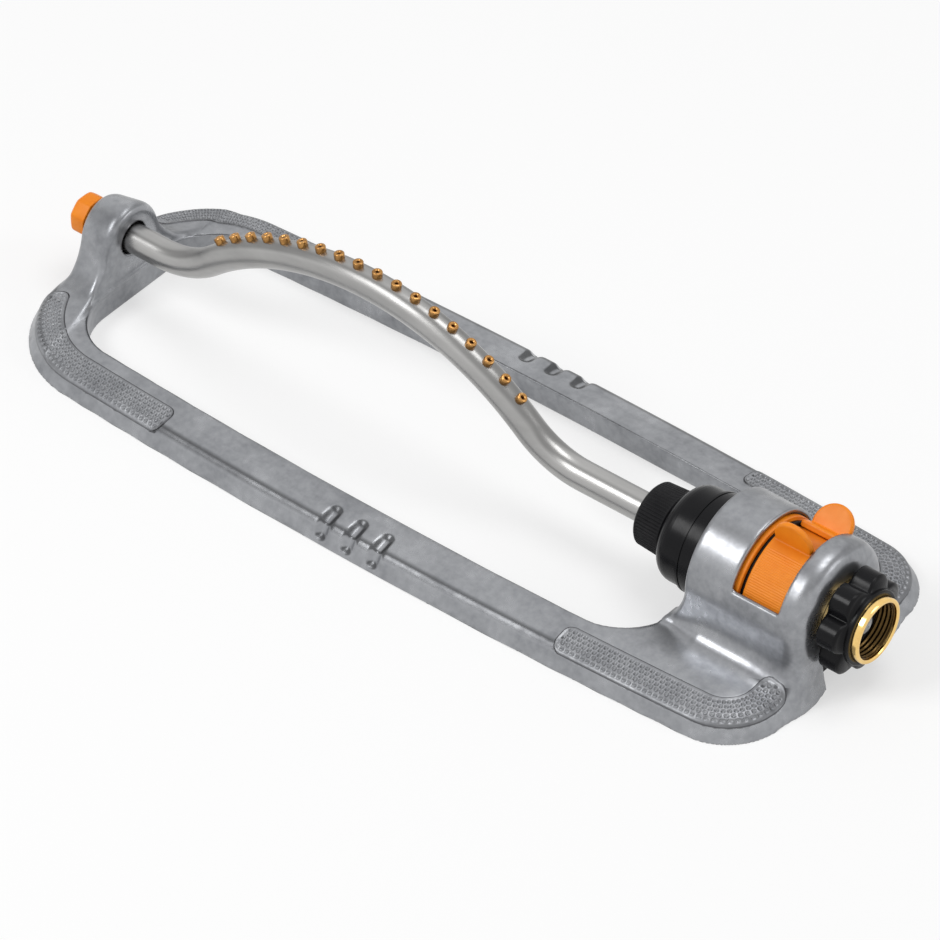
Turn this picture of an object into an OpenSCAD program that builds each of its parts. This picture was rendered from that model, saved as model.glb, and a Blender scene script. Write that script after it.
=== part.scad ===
// Oscillating lawn sprinkler: a die-cast base, an arched spray tube swept by a
// water motor, two range stops, a flow knob, a clean-out plug and a hose swivel.
// Frame: +X from the clean-out plug to the hose inlet, +Z up, ground at z = 0.

/* [Base] */
// Length of the base on the ground
base_length = 463; // [400:1:600]
// Width of the base, at the middle of its bowed sides
base_width = 169.6; // [145:0.1:220]
// How far each long side bows out over the length of the base
side_bow = 8; // [1:0.1:10]
// Distance from the middle of the base to the widest place of the bow
bow_shift = 15; // [-30:1:30]
// Radius of the bowed left end
left_end_r = 900; // [300:5:1500]
// Radius of the bowed right end
right_end_r = 900; // [300:5:1500]
// Corner radius at the left end
left_corner_r = 58.5; // [45:0.5:64]
// Corner radius at the right end
right_corner_r = 36; // [34:1:60]
// Width of the side rails
rail_w = 26.3; // [20:0.1:34]
// How far the outer wall leans in up to its top edge
edge_inset = 6; // [2:0.1:9]
// Height of the outer top edge
edge_z = 10.2; // [7:0.1:13]
// Height of the deck, at the inner edge of the rails
deck_z = 13.1; // [11:0.1:16]
// Wall of the casting
wall = 2.6; // [2:0.1:3.2]
// Corner radius of the opening at the tower end
opening_left_r = 29; // [15:1:35]
// Corner radius of the opening at the motor end
opening_right_r = 31; // [15:1:34]

/* [Grip notches] */
// Distance between two notches
notch_pitch = 15.6; // [10:0.1:20]
// Radius of a notch
notch_r = 3.3; // [2:0.1:4.5]
// Middle notch, measured from the middle of the base
notch_x = 2.2; // [-40:0.1:40]
// How deep a notch cuts into the rail's outer edge
notch_depth = 2; // [1:0.1:2.2]

/* [Axis] */
// Height of the sweep axis above the ground
axis_z = 35; // [33:0.1:42]

/* [Tower] */
// Distance from the left end of the base to the tower
tower_set = 10.4; // [8:0.1:14]
// Thickness of the tower along the sweep axis
tower_t = 22; // [18:0.1:30]
// Head radius of the tower on its inner face
tower_r = 18.5; // [16:0.1:24]
// Head radius of the tower on its outer face
tower_outer_r = 14.8; // [13:0.1:20]
// Radius of the concave foot of the tower
tower_foot_r = 22; // [10:0.5:24]

/* [Dome] */
// Distance from the right end of the base to the dome
dome_set = 4.6; // [3:0.1:8]
// Length of the dome
dome_length = 65.3; // [62:0.1:90]
// Outer radius of the dome
dome_r = 33.5; // [32.6:0.1:34]
// Inner radius of the dome
dome_bore_r = 31; // [30.8:0.1:31.4]
// Rounding of the edge at the inlet end
dome_edge_r = 6; // [2:0.1:10]
// Radius of the concave foot along the dome
dome_foot_r = 11; // [4:0.5:14]
// Width of the window along the axis
window_w = 26; // [24:0.1:28]
// Height of the window's lower edge above the axis
window_rise = 12; // [6:0.1:18]

/* [Spray tube] */
// Outer diameter of the tube
tube_d = 15; // [12:0.1:16]
// Wall of the tube
tube_wall = 1; // [0.6:0.1:1.4]
// Height of the arch above the axis, on the centre line
arch_height = 48.5; // [30:0.5:54]
// Radius of the two reverse bends
bend_r = 50; // [25:1:55]
// Straight length next to the tower
left_straight = 18; // [8:0.5:25]
// Straight length next to the knob
right_straight = 40; // [10:0.5:60]
// Number of nozzles
nozzle_count = 18; // [8:1:22]
// Distance between nozzles along the crown
nozzle_pitch = 11.5; // [7:0.1:12]
// Outer diameter of a nozzle
nozzle_d = 5.2; // [3:0.1:6]
// Height of a nozzle above the tube
nozzle_h = 3; // [1:0.1:4]
// Diameter of a nozzle's jet hole
jet_d = 1.4; // [0.8:0.1:2]

/* [Flow knob] */
// Length of the knob
knob_length = 16; // [12:0.1:20]
// Radius of the knob next to the tube
knob_r = 16; // [13:0.1:18]
// Radius of the knob next to the motor
knob_wide_r = 17; // [13:0.1:19]

/* [Motor] */
// Radius of the motor case
case_r = 25.6; // [25:0.1:25.6]
// Rounding of the case's front shoulder
case_shoulder_r = 7.5; // [3:0.1:8]
// Wall of the motor case
case_wall = 2.2; // [1.6:0.1:2.4]
// How far the case stands out in front of the dome
case_front_out = 26.5; // [24:0.1:34]
// Depth of the front shell inside the dome
case_front_in = 20; // [19.5:0.1:22]
// Radius of the rear shell
rear_r = 23.5; // [22.5:0.1:23.6]
// Radius of the hub's neck
neck_r = 9; // [8:0.1:10]

/* [Gears] */
// Module of the gears
gear_module = 0.7; // [0.6:0.05:0.7]
// Teeth of each pinion
pinion_teeth = 12; // [12:1:14]
// Teeth of each wheel
wheel_teeth = 24; // [20:1:24]
// Face width of the gears
gear_face = 4; // [2.5:0.1:4.2]
// Step from one gear stage to the next
stage_pitch = 5.2; // [4.8:0.1:5.4]
// Radius of the gear pins
pin_r = 1.5; // [1:0.1:1.8]

/* [Range stops] */
// Lean of the near tab from the vertical
near_lean = 8; // [5:1:30]
// Lean of the far tab from the vertical
far_lean = 50; // [30:1:54]
// Width of the stops along the axis
stop_w = 22; // [18:0.1:22.4]
// Outer radius of the stops
stop_r = 30.3; // [29:0.1:30.4]
// Radius of a tab
tab_r = 10.4; // [8:0.1:11]
// Thickness of a tab
tab_t = 3; // [2:0.1:4]
// Distance from the axis to the middle of a tab
tab_rise = 33; // [32:0.1:38]

/* [Hose swivel] */
// How far the brass lip stands out beyond the base
inlet_out = 16; // [15:0.1:20]
// Radius of the internal hose thread
hose_r = 13.5; // [13:0.05:13.8]
// Outer radius of the brass insert
insert_r = 16.5; // [16:0.1:18]
// Length of the hose thread bore
hose_depth = 9; // [8:0.1:9.2]
// Depth of the pocket for the hose washer
washer_pocket = 5; // [4.8:0.1:5.2]
// Radius of the swivel nut between its lobes
nut_r = 19; // [18.5:0.1:21]
// Radius over the lobes of the swivel nut
nut_lobe_r = 25.5; // [22:0.1:26]
// Length of the swivel nut
nut_length = 14.7; // [12:0.1:15.4]
// Number of lobes
nut_lobes = 7; // [5:1:9]

/* [Clean-out plug] */
// How far the plug stands out beyond the base
plug_out = 1; // [0:0.1:6]
// Width of the plug's head over its corners
plug_d = 22.4; // [18:0.1:26]
// Thickness of the plug's head
plug_t = 9.5; // [6:0.1:10]

/* [Hidden] */
$fn = 96;

eps = 0.01;
air = 0.3;            // gap between faces that pass each other
fit = 0.06;           // radial clearance of a running fit
seat = 0.1;           // gap of a piece that is placed and stays put
total_length = plug_out + base_length + inlet_out;
left_x = -total_length / 2 + plug_out;
right_x = total_length / 2 - inlet_out;
mid_x = (left_x + right_x) / 2;

// outline arcs, on the ground
side_r = (base_length * base_length / 4 + side_bow * side_bow) / (2 * side_bow);
side_c = [mid_x + bow_shift, base_width / 2 - side_r];
left_c = [left_x + left_end_r, 0];
right_c = [right_x - right_end_r, 0];

// where a circle of radius r1 about c1 meets one of radius r2 about c2; turn is 1 or -1
function meet(c1, r1, c2, r2, turn) =
    let (gap = c2 - c1, d = norm(gap), a = (r1 * r1 - r2 * r2 + d * d) / (2 * d),
         h = sqrt(r1 * r1 - a * a), u = gap / d)
    c1 + a * u + turn * h * [-u[1], u[0]];
function heading(v) = atan2(v[1], v[0]);
function arc(c, r, a0, a1, steps) =
    [for (i = [0:steps]) c + r * [cos(a0 + (a1 - a0) * i / steps), sin(a0 + (a1 - a0) * i / steps)]];
function but_last(points) = [for (i = [0:len(points) - 2]) points[i]];
function mirrored(points) = [for (i = [len(points) - 2:-1:1]) [points[i][0], -points[i][1]]];
function at_height(points, z) = [for (p = points) [p[0], p[1], z]];

right_corner_c = meet(side_c, side_r - right_corner_r, right_c, right_end_r - right_corner_r, -1);
left_corner_c = meet(side_c, side_r - left_corner_r, left_c, left_end_r - left_corner_r, 1);
right_end_a = heading(right_corner_c - right_c);
right_side_a = heading(right_corner_c - side_c);
left_side_a = heading(left_corner_c - side_c);
left_end_a = heading(left_corner_c - left_c);

// the base's outline, moved inwards by inset
function half_outline(inset) = concat(
    but_last(arc(right_c, right_end_r - inset, 0, right_end_a, 3)),
    but_last(arc(right_corner_c, right_corner_r - inset, right_end_a, right_side_a, 9)),
    but_last(arc(side_c, side_r - inset, right_side_a, left_side_a, 8)),
    but_last(arc(left_corner_c, left_corner_r - inset, left_side_a, left_end_a, 9)),
    arc(left_c, left_end_r - inset, left_end_a, 180, 2));
function outline(inset) = concat(half_outline(inset), mirrored(half_outline(inset)));

// the opening between the rails
tower_x = left_x + tower_set;
tower_in_x = tower_x + tower_t;
dome_end_x = right_x - dome_set;
dome_x = dome_end_x - dome_length;
saddle_t = 8.3;       // deck between the opening and the dome
opening_end_x = dome_x - saddle_t;
tower_ledge = 0.4;    // deck between the tower and the opening
opening_x = tower_in_x + tower_ledge;
inner_side_r = side_r - rail_w;
function corner_y(x, r) = side_c[1] + sqrt(pow(inner_side_r - r, 2) - pow(x - side_c[0], 2));
open_right_c = [opening_end_x - opening_right_r, corner_y(opening_end_x - opening_right_r, opening_right_r)];
open_left_c = [opening_x + opening_left_r, corner_y(opening_x + opening_left_r, opening_left_r)];
function half_opening(grow) = concat(
    [[opening_end_x + grow, 0]],
    but_last(arc(open_right_c, opening_right_r + grow, 0, heading(open_right_c - side_c), 8)),
    but_last(arc(side_c, inner_side_r + grow, heading(open_right_c - side_c), heading(open_left_c - side_c), 8)),
    arc(open_left_c, opening_left_r + grow, heading(open_left_c - side_c), 180, 8),
    [[opening_x - grow, 0]]);
function opening(grow) = concat(half_opening(grow), mirrored(half_opening(grow)));

// pieces along the axis of the dome
bulkhead_t = 4;
end_wall_t = 3.2;
bay_x = dome_x + bulkhead_t;
bay_end_x = dome_end_x - end_wall_t;
case_x = dome_x - case_front_out;
case_split_x = dome_x + case_front_in;
rear_flange_t = 3;
window_end_x = dome_end_x - 14;
window_x = window_end_x - window_w;
window_mid_x = window_x + 4 + stop_w / 2;
rear_end_x = bay_end_x - 4;
rear_wall_t = 3;
case_bore_r = case_r - case_wall;
rear_bore_r = rear_r - case_wall;
stem_r = 11.5;
stem_bore_r = 8;
boss_r = stem_r + 2.4;

// the tube
knob_x = case_x - knob_length - 1.2;
tube_r = tube_d / 2;
tube_bore_r = tube_r - tube_wall;
plug_face_x = left_x - plug_out;
plug_seal_t = 1;
tube_end_x = plug_face_x + plug_t + plug_seal_t;
tube_start_x = tower_in_x - 3;
socket_depth = 12;
socket_floor_x = knob_x + 1.8 + socket_depth;
arch_half = (knob_x - right_straight - tower_in_x - left_straight) / 2;
arch_x = tower_in_x + left_straight + arch_half;
arch_r = (arch_half * arch_half + arch_height * arch_height) / (2 * arch_height) - bend_r;
arch_a = asin(arch_half / (arch_r + bend_r));
arch_cz = axis_z + arch_height - arch_r;

// gears: all on the sweep axis or on one idler pin above it
gear_gap = gear_module * (pinion_teeth + wheel_teeth) / 2;
addendum = 0.8;
dedendum = 1.05;
pressure = 25;
backlash = 0.14;
front_wall_t = 11.4;
gear_x = case_x + front_wall_t + 1.2;
function stage_x(i) = gear_x + i * stage_pitch;
plate_x = stage_x(3) + gear_face + 1.2;
plate_t = 3;
turbine_x = case_split_x + rear_flange_t + 6;
turbine_w = 8;
turbine_r = 17;
jet_x = turbine_x + turbine_w + 2;
jet_t = 3;
trip_x = jet_x + jet_t + 1;
trip_t = 2.6;
diverter_x = trip_x + trip_t + 1;
diverter_t = 2.5;

nut_x = total_length / 2 - 3.8 - nut_length;
insert_collar_t = 2.6;
lip_bevel = 1.8;
insert_x = total_length / 2 - lip_bevel - hose_depth - washer_pocket - insert_collar_t;
stem_flange_x = insert_x + insert_collar_t + 0.4;
stem_flange_t = 1.7;
washer_x = stem_flange_x + stem_flange_t + air;
washer_t = 2.4;

// a child's own Z laid along +X on the sweep axis, from x
module on_axis(x) translate([x, 0, axis_z]) rotate([0, 90, 0]) children();
// a ring about the sweep axis
module ring(x0, x1, r_out, r_in)
    on_axis(x0) difference() {
        cylinder(h = x1 - x0, r = r_out);
        translate([0, 0, -1]) cylinder(h = x1 - x0 + 2, r = r_in);
    }
module rod(x0, x1, r) on_axis(x0) cylinder(h = x1 - x0, r = r);
// the sides of a skin over rings of n points that match one to one
function skin(count, n) = [for (k = [0:count - 2], i = [0:n - 1])
    [k * n + i, (k + 1) * n + i, (k + 1) * n + (i + 1) % n, k * n + (i + 1) % n]];
// a closed skin over rings that bulge outwards everywhere
module loft(rings) {
    n = len(rings[0]);
    last = (len(rings) - 1) * n;
    polyhedron(points = [for (ring = rings) each ring],
        faces = concat([[for (i = [0:n - 1]) i]], skin(len(rings), n), [[for (i = [n - 1:-1:0]) last + i]]));
}

// ---- base -------------------------------------------------------------
module slab(inset, drop, floor_z)
    loft([at_height(outline(inset), floor_z),
          at_height(outline(edge_inset + inset), edge_z - drop),
          at_height(outline(rail_w), deck_z - drop)]);

rib_w = 2;
rib_xs = [for (k = [-3, -2, -1, 0, 1]) mid_x + k * 58];
module underside() difference() {
    slab(wall, wall, -1);
    translate([0, 0, -2]) linear_extrude(deck_z + 4) polygon(opening(wall));
    for (x = rib_xs) translate([x - rib_w / 2, -base_width, 2]) cube([rib_w, 2 * base_width, deck_z]);
    translate([left_x, -tower_outer_r, 2]) cube([tower_set + tower_t + wall, 2 * tower_outer_r, deck_z]);
    translate([dome_x, -dome_r, -2]) cube([dome_length, 2 * dome_r, deck_z + 4]);
}

function tower_side(r) = concat(
    arc([r + tower_foot_r, deck_z + tower_foot_r - 1], tower_foot_r, 270, 180, 8),
    arc([0, axis_z], r, 0, 90, 8));
function tower_ring(x, r) =
    let (side = tower_side(r), floor_z = deck_at(x - left_x) - wall / 2,
         half = concat([[r + tower_foot_r, floor_z]], side),
         other = [for (i = [len(half) - 2:-1:0]) [-half[i][0], half[i][1]]])
    [for (p = concat(half, other)) [x, p[0], p[1]]];
// height of the rail's top at a distance from the outline
function deck_at(inset) = edge_z + (min(inset, rail_w) - edge_inset) / (rail_w - edge_inset) * (deck_z - edge_z);
module tower() {
    rings = [tower_ring(tower_x, tower_outer_r), tower_ring(tower_in_x, tower_r)];
    n = len(rings[0]);
    top = (n - 1) / 2;
    // the two end faces are cut into level strips, because the foot is hollow
    strips = concat([for (i = [0:top - 2]) [i, i + 1, n - 2 - i, n - 1 - i]], [[top - 1, top, top + 1]]);
    polyhedron(points = concat(rings[0], rings[1]),
        faces = concat(strips, skin(2, n), [for (strip = strips) [for (i = [len(strip) - 1:-1:0]) n + strip[i]]]));
}

module dome_shell() {
    on_axis(dome_x) rotate_extrude() polygon(concat(
        [[0, 0], [dome_r, 0]],
        arc([dome_r - dome_edge_r, dome_length - dome_edge_r], dome_edge_r, 0, 90, 8),
        [[0, dome_length]]));
    translate([dome_x, -dome_r, 0]) cube([dome_length, 2 * dome_r, axis_z]);
    for (s = [-1, 1]) dome_foot(s);
}
module dome_foot(side) difference() {
    translate([dome_x, side * (dome_r - 1 + (dome_foot_r + 1) / 2) - (dome_foot_r + 1) / 2, deck_z - 1])
        cube([dome_length, dome_foot_r + 1, dome_foot_r + 1]);
    translate([dome_x - 1, side * (dome_r + dome_foot_r), deck_z + dome_foot_r]) rotate([0, 90, 0])
        cylinder(h = dome_length + 2, r = dome_foot_r);
}
// room for the motor: it is put in from below
module dome_hollow() {
    saddle_r = case_r + air;
    rod(opening_end_x - 5, bay_x + 1, saddle_r);
    translate([opening_end_x - 5, -saddle_r, -1]) cube([bay_x - opening_end_x + 6, 2 * saddle_r, axis_z + 1]);
    rod(bay_x, bay_end_x, dome_bore_r);
    translate([bay_x, -dome_bore_r, -1]) cube([bay_end_x - bay_x, 2 * dome_bore_r, axis_z + 1]);
    inlet_r = boss_r + air;
    rod(bay_end_x - 1, right_x + 1, inlet_r);
    translate([bay_end_x - 1, -inlet_r, -1]) cube([right_x - bay_end_x + 2, 2 * inlet_r, axis_z + 1]);
    translate([window_x, -dome_r - 9, axis_z + window_rise]) cube([window_w, 2 * dome_r + 18, dome_r]);
}

// screws of the bottom cover: two on each side of the dome
cover_z = 2;
cover_t = 3;
cover_screw_r = 1.5;
cover_screw_y = dome_bore_r - 4;
cover_screw_xs = [bay_x + 8, bay_end_x - 5];
module screw_bosses() for (x = cover_screw_xs, s = [-1, 1])
    translate([x, s * cover_screw_y, cover_z + cover_t]) difference() {
        union() {
            cylinder(h = 7, r = 3.6);
            translate([-3.6, s > 0 ? 0 : -4 - wall / 2, 0]) cube([7.2, 4 + wall / 2, 7]);
        }
        translate([0, 0, -1]) cylinder(h = 7, r = cover_screw_r + fit);
    }

notch_mid_x = mid_x + notch_x;
notch_lean = 49;      // from the vertical, square to the rail's outer edge
notch_reach = 20;
// flutes laid along the slope from the wall up to the top of the rail
module notches() for (k = [-1:1], s = [-1, 1])
    translate([notch_mid_x + k * notch_pitch, s * (base_width / 2 - edge_inset), edge_z])
        rotate([s * notch_lean, 0, 0]) translate([0, s * (notch_r - notch_depth), -notch_reach])
            cylinder(h = 2 * notch_reach, r = notch_r);

module base_casting() color("lightslategray") difference() {
    union() {
        difference() {
            union() {
                difference() {
                    slab(0, 0, 0);
                    translate([0, 0, -1]) linear_extrude(deck_z + 2) polygon(opening(0));
                    underside();
                }
                dome_shell();
            }
            dome_hollow();
        }
        tower();
        screw_bosses();
    }
    rod(tower_x - 5, tower_in_x + 5, bush_r + seat);
    notches();
}

bush_r = tube_r + 1.8;
module tower_bush() color("dimgray")
    ring(tower_x + 1, tower_in_x - 5, bush_r, tube_r + fit);

module cradle(x, w, r) difference() {
    translate([x, -0.75 * r, cover_z + cover_t - 1]) cube([w, 1.5 * r, axis_z - cover_z - cover_t - 0.62 * r]);
    rod(x - 1, x + w + 1, r + seat);
}
module bottom_cover() color([0.1, 0.1, 0.11]) difference() {
    union() {
        translate([bay_x + air, -dome_bore_r + air, cover_z])
            cube([bay_end_x - bay_x - 2 * air, 2 * (dome_bore_r - air), cover_t - air / 3]);
        cradle(bay_x + 2, 6, case_r);
        cradle(rear_end_x - 4, 3.5, rear_r);
    }
    for (x = cover_screw_xs, s = [-1, 1])
        translate([x, s * cover_screw_y, 0]) cylinder(h = 10, r = cover_screw_r + fit);
}
module cover_screws() color("silver") for (x = cover_screw_xs, s = [-1, 1])
    translate([x, s * cover_screw_y, cover_z]) {
        translate([0, 0, -1.4]) difference() {
            cylinder(h = 1.4, r = 2.9);
            translate([-0.4, -2, -1]) cube([0.8, 4, 1.6]);
            translate([-2, -0.4, -1]) cube([4, 0.8, 1.6]);
        }
        cylinder(h = 7.5, r = cover_screw_r);
    }

// ---- motor ------------------------------------------------------------
ear_r = 2.7;
ear_place_r = 27.2;
ear_angles = [90, 210, 330];
ear_screw_r = 1;
module ears(x0, x1, hole_r) for (a = ear_angles)
    on_axis(x0) rotate([0, 0, a]) difference() {
        union() {
            translate([ear_place_r, 0, 0]) cylinder(h = x1 - x0, r = ear_r);
            translate([case_r - 2, -ear_r, 0]) cube([ear_place_r - case_r + 2, 2 * ear_r, x1 - x0]);
        }
        translate([ear_place_r, 0, -1]) cylinder(h = x1 - x0 + 2, r = hole_r);
    }
seal_groove_r = 1;
case_front_length = case_split_x - case_x;
seam_x = case_x + 15.4;   // the groove round the front shell
seam_w = 0.8;
front_step = 1.2;         // the shell is this much smaller ahead of the groove
idler_x = case_x + front_wall_t - 1;
module case_front() color([0.1, 0.1, 0.11]) {
    difference() {
        on_axis(case_x) rotate_extrude() polygon(concat(
            [[neck_r + fit, 0]],
            arc([case_r - front_step - case_shoulder_r, case_shoulder_r], case_shoulder_r, 270, 360, 8),
            [[case_r - front_step, seam_x - case_x], [case_r, seam_x - case_x],
             [case_r, case_front_length], [case_bore_r, case_front_length],
             [case_bore_r, front_wall_t], [neck_r + fit, front_wall_t]]));
        ring(seam_x + front_step, seam_x + front_step + seam_w, case_r + 1, case_r - seam_w / 2);
        on_axis(idler_x - 0.4) translate([-gear_gap, 0, 0]) cylinder(h = 3, r = pin_r + fit);
    }
    ears(case_split_x - 6, case_split_x - seat, ear_screw_r + fit);
}
seal_lip = 4;
module case_rear() color([0.1, 0.1, 0.11]) {
    rear_length = rear_end_x - case_split_x;
    boss_length = dome_end_x - case_split_x - 0.4;
    on_axis(case_split_x) rotate_extrude() polygon([
        [rear_bore_r, 0], [case_r, 0], [case_r, rear_flange_t], [rear_r, rear_flange_t],
        [rear_r, rear_length], [boss_r, rear_length], [boss_r, boss_length], [stem_r + seat, boss_length],
        [stem_r + seat, rear_length - rear_wall_t], [rear_bore_r, rear_length - rear_wall_t]]);
    ring(case_split_x - seal_lip, case_split_x + 1, case_bore_r - 2 * seal_groove_r + 0.2, rear_bore_r);
    ears(case_split_x, case_split_x + rear_flange_t, ear_screw_r + fit);
}
module case_seal() color("black") on_axis(case_split_x - seal_lip / 2) rotate_extrude()
    translate([case_bore_r - 0.95, 0]) circle(r = 0.7, $fn = 24);
module case_screws() color("silver") for (a = ear_angles)
    on_axis(case_split_x) rotate([0, 0, a]) translate([ear_place_r, 0, 0]) {
        translate([0, 0, -5.5]) cylinder(h = 5.5 + rear_flange_t, r = ear_screw_r, $fn = 32);
        translate([0, 0, rear_flange_t]) cylinder(h = 1.2, r = 2.1, $fn = 32);
    }
module gear_plate() color("ivory") difference() {
    ring(plate_x, plate_x + plate_t, case_bore_r - seat, sleeve_r + air);
    on_axis(plate_x - 1) translate([-gear_gap, 0, 0]) cylinder(h = 3, r = pin_r + fit);
}
module idler_pin() color("silver") on_axis(idler_x) translate([-gear_gap, 0, 0])
    cylinder(h = plate_x + 1.6 - idler_x, r = pin_r);
module jet_plate() color("ivory") difference() {
    ring(jet_x, jet_x + jet_t, rear_bore_r - seat, pin_r + fit);
    for (a = [30:60:330], s = [-1, 1])
        on_axis(jet_x - 1) rotate([0, 0, a + s * 7]) translate([turbine_r - 4, 0, 0])
            cylinder(h = jet_t + 2, r = 1.2, $fn = 24);
}
carrier_r = 26.5;
carrier_x = window_x - 0.6;
carrier_flange_t = 3.2;
carrier_end_x = window_mid_x + stop_w / 2 + 0.8;
module stop_carrier() color("darkorange") {
    ring(carrier_x, carrier_end_x, carrier_r, rear_r + seat);
    ring(carrier_x, carrier_x + carrier_flange_t, stop_r - 0.6, carrier_r - 1);
}
nose_r = stem_bore_r - 3;
nose_x = diverter_x - 0.4;
stem_x = rear_end_x - rear_wall_t - 2;
module inlet_stem() color([0.12, 0.12, 0.13]) difference() {
    union() {
        rod(nose_x, stem_x + 1, nose_r);
        rod(stem_x, stem_flange_x + 1, stem_r);
        rod(stem_flange_x, stem_flange_x + stem_flange_t, hose_r - 0.4);
    }
    rod(nose_x - 1, stem_x + 3, nose_r - 1.8);
    rod(stem_x + 2, stem_flange_x + stem_flange_t + 1, stem_bore_r);
    ring(stem_seal_x - 0.9, stem_seal_x + 0.9, stem_r + 1, stem_r - 1.1);
}
stem_seal_x = insert_x + insert_collar_t / 2;
module stem_seal() color("black") on_axis(stem_seal_x) rotate_extrude()
    translate([stem_r - 0.6, 0]) circle(r = 0.45, $fn = 24);
module stem_ring() color("goldenrod")
    ring(dome_end_x + 0.2, nut_x - air, nut_r - 1.6, stem_r + seat);

// ---- spray tube -------------------------------------------------------
nozzle_step = nozzle_pitch / (arch_r + tube_r) * 180 / PI;
function nozzle_a(i) = (i - (nozzle_count - 1) / 2) * nozzle_step;
// places along the tube's centre line: [x, z, slope]
function bend_place(side, a) =
    [arch_x + side * (arch_half - bend_r * sin(a)), axis_z + bend_r * (1 - cos(a)), -side * a];
function crown_place(a) = [arch_x - arch_r * sin(a), arch_cz + arch_r * cos(a), a];
bend_steps = 5;
crown_steps = 22;
tube_places = concat(
    [[tube_start_x, axis_z, 0]],
    [for (i = [0:bend_steps - 1]) bend_place(-1, arch_a * i / bend_steps)],
    [for (i = [0:crown_steps]) crown_place(arch_a * (1 - 2 * i / crown_steps))],
    [for (i = [bend_steps - 1:-1:0]) bend_place(1, arch_a * i / bend_steps)],
    [[socket_floor_x, axis_z, 0]]);
tube_sides = 24;
function tube_ring(place, r) = [for (k = [0:tube_sides - 1])
    let (a = k * 360 / tube_sides, out = r * sin(a))
    [place[0] - out * sin(place[2]), r * cos(a), place[1] + out * cos(place[2])]];
module tube_solid(r, extra) loft([for (k = [0:len(tube_places) - 1])
    let (p = tube_places[k], shift = k == 0 ? -extra : k == len(tube_places) - 1 ? extra : 0)
    tube_ring([p[0] + shift, p[1], p[2]], r)]);
module at_nozzle(i) translate([arch_x, 0, arch_cz]) rotate([0, nozzle_a(i), 0]) children();
module spray_tube() color("silver") difference() {
    tube_solid(tube_r, 0);
    tube_solid(tube_bore_r, 1);
    for (i = [0:nozzle_count - 1]) at_nozzle(i)
        translate([0, 0, arch_r]) cylinder(h = tube_r + 3, r = nozzle_d / 2 + fit);
}
nozzle_foot = 0.8;
module nozzle() difference() {
    nozzle_r = nozzle_d / 2;
    top = tube_r + nozzle_h;
    rotate_extrude() polygon(concat(
        [[0, tube_bore_r - nozzle_foot], [nozzle_r, tube_bore_r - nozzle_foot]],
        arc([nozzle_r - 0.9, top - 0.9], 0.9, 0, 90, 4),
        [[0, top]]));
    cylinder(h = 4 * tube_r, r = jet_d / 2, $fn = 24);
}
module nozzles() color("peru")
    for (i = [0:nozzle_count - 1]) at_nozzle(i) translate([0, 0, arch_r]) nozzle();
plug_stem_r = tube_bore_r - 1.2;
module end_sleeve() color("gray") {
    ring(tube_end_x, tube_start_x, tube_r, plug_stem_r + fit);
    ring(tube_start_x - eps, tube_start_x + 6, tube_bore_r - seat, plug_stem_r + fit);
}
hub_r = tube_r + 3;
hub_end_x = gear_x;
module tube_socket() color([0.1, 0.1, 0.11]) difference() {
    union() {
        rod(knob_x + 1.8, case_x - 0.6, hub_r);
        rod(case_x - 1, hub_end_x - 0.2, neck_r);
    }
    rod(knob_x, socket_floor_x, tube_r + seat / 2);
    rod(socket_floor_x - 1, hub_end_x - 3, tube_bore_r - 1);
    rod(hub_end_x - 4, hub_end_x + 1, pin_r + 0.02);
    for (x = neck_seal_xs) ring(x - 0.8, x + 0.8, neck_r + 1, neck_r - 1);
}
neck_seal_xs = [case_x + 3.5, case_x + 7.5];
module socket_seals() color("black") for (x = neck_seal_xs)
    on_axis(x) rotate_extrude() translate([neck_r - 0.5, 0]) circle(r = 0.42, $fn = 24);

function inv(a) = tan(a) * 180 / PI - a;
// half the angle that a tooth takes up at radius r
function tooth_half(teeth, r) =
    let (pitch_r = gear_module * teeth / 2, base_r = pitch_r * cos(pressure))
    90 / teeth - backlash / (2 * pitch_r) * 180 / PI + inv(pressure)
        - inv(r > base_r ? acos(base_r / r) : 0);
function gear_points(teeth) =
    let (pitch_r = gear_module * teeth / 2, root = pitch_r - dedendum * gear_module,
         tip = pitch_r + addendum * gear_module, base_r = max(root + 0.05, pitch_r * cos(pressure)),
         radii = concat([root], [for (k = [0:3]) base_r + (tip - base_r) * k / 3]))
    [for (t = [0:teeth - 1]) each concat(
        [for (r = radii) r * [cos(t * 360 / teeth - tooth_half(teeth, r)), sin(t * 360 / teeth - tooth_half(teeth, r))]],
        [for (k = [len(radii) - 1:-1:0]) let (r = radii[k])
            r * [cos(t * 360 / teeth + tooth_half(teeth, r)), sin(t * 360 / teeth + tooth_half(teeth, r))]])];
// up is the direction of the idler pin as seen in a gear's own plane
up = 180;
module wheel(x, teeth, turn) on_axis(x) rotate([0, 0, turn]) linear_extrude(gear_face) polygon(gear_points(teeth));
module idler_gear(i) {
    // a compound gear on the idler pin: pinion in stage i, wheel in stage i + 1
    difference() {
        translate([0, 0, gear_gap]) union() {
            wheel(stage_x(i), pinion_teeth, 180 / pinion_teeth);
            rod(stage_x(i) + gear_face - eps, stage_x(i + 1) + eps, gear_module * pinion_teeth / 2 - 1);
            wheel(stage_x(i + 1), wheel_teeth, 180 / wheel_teeth);
        }
        translate([0, 0, gear_gap]) rod(stage_x(i) - 1, stage_x(i + 1) + gear_face + 1, pin_r + fit);
    }
}
module output_gear() color("ivory") difference() {
    wheel(gear_x, wheel_teeth, up);
    rod(gear_x - 1, gear_x + gear_face + 1, pin_r + 0.02);
}
module third_gear() color("ivory") idler_gear(0);
module first_gear() color("ivory") idler_gear(2);
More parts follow.
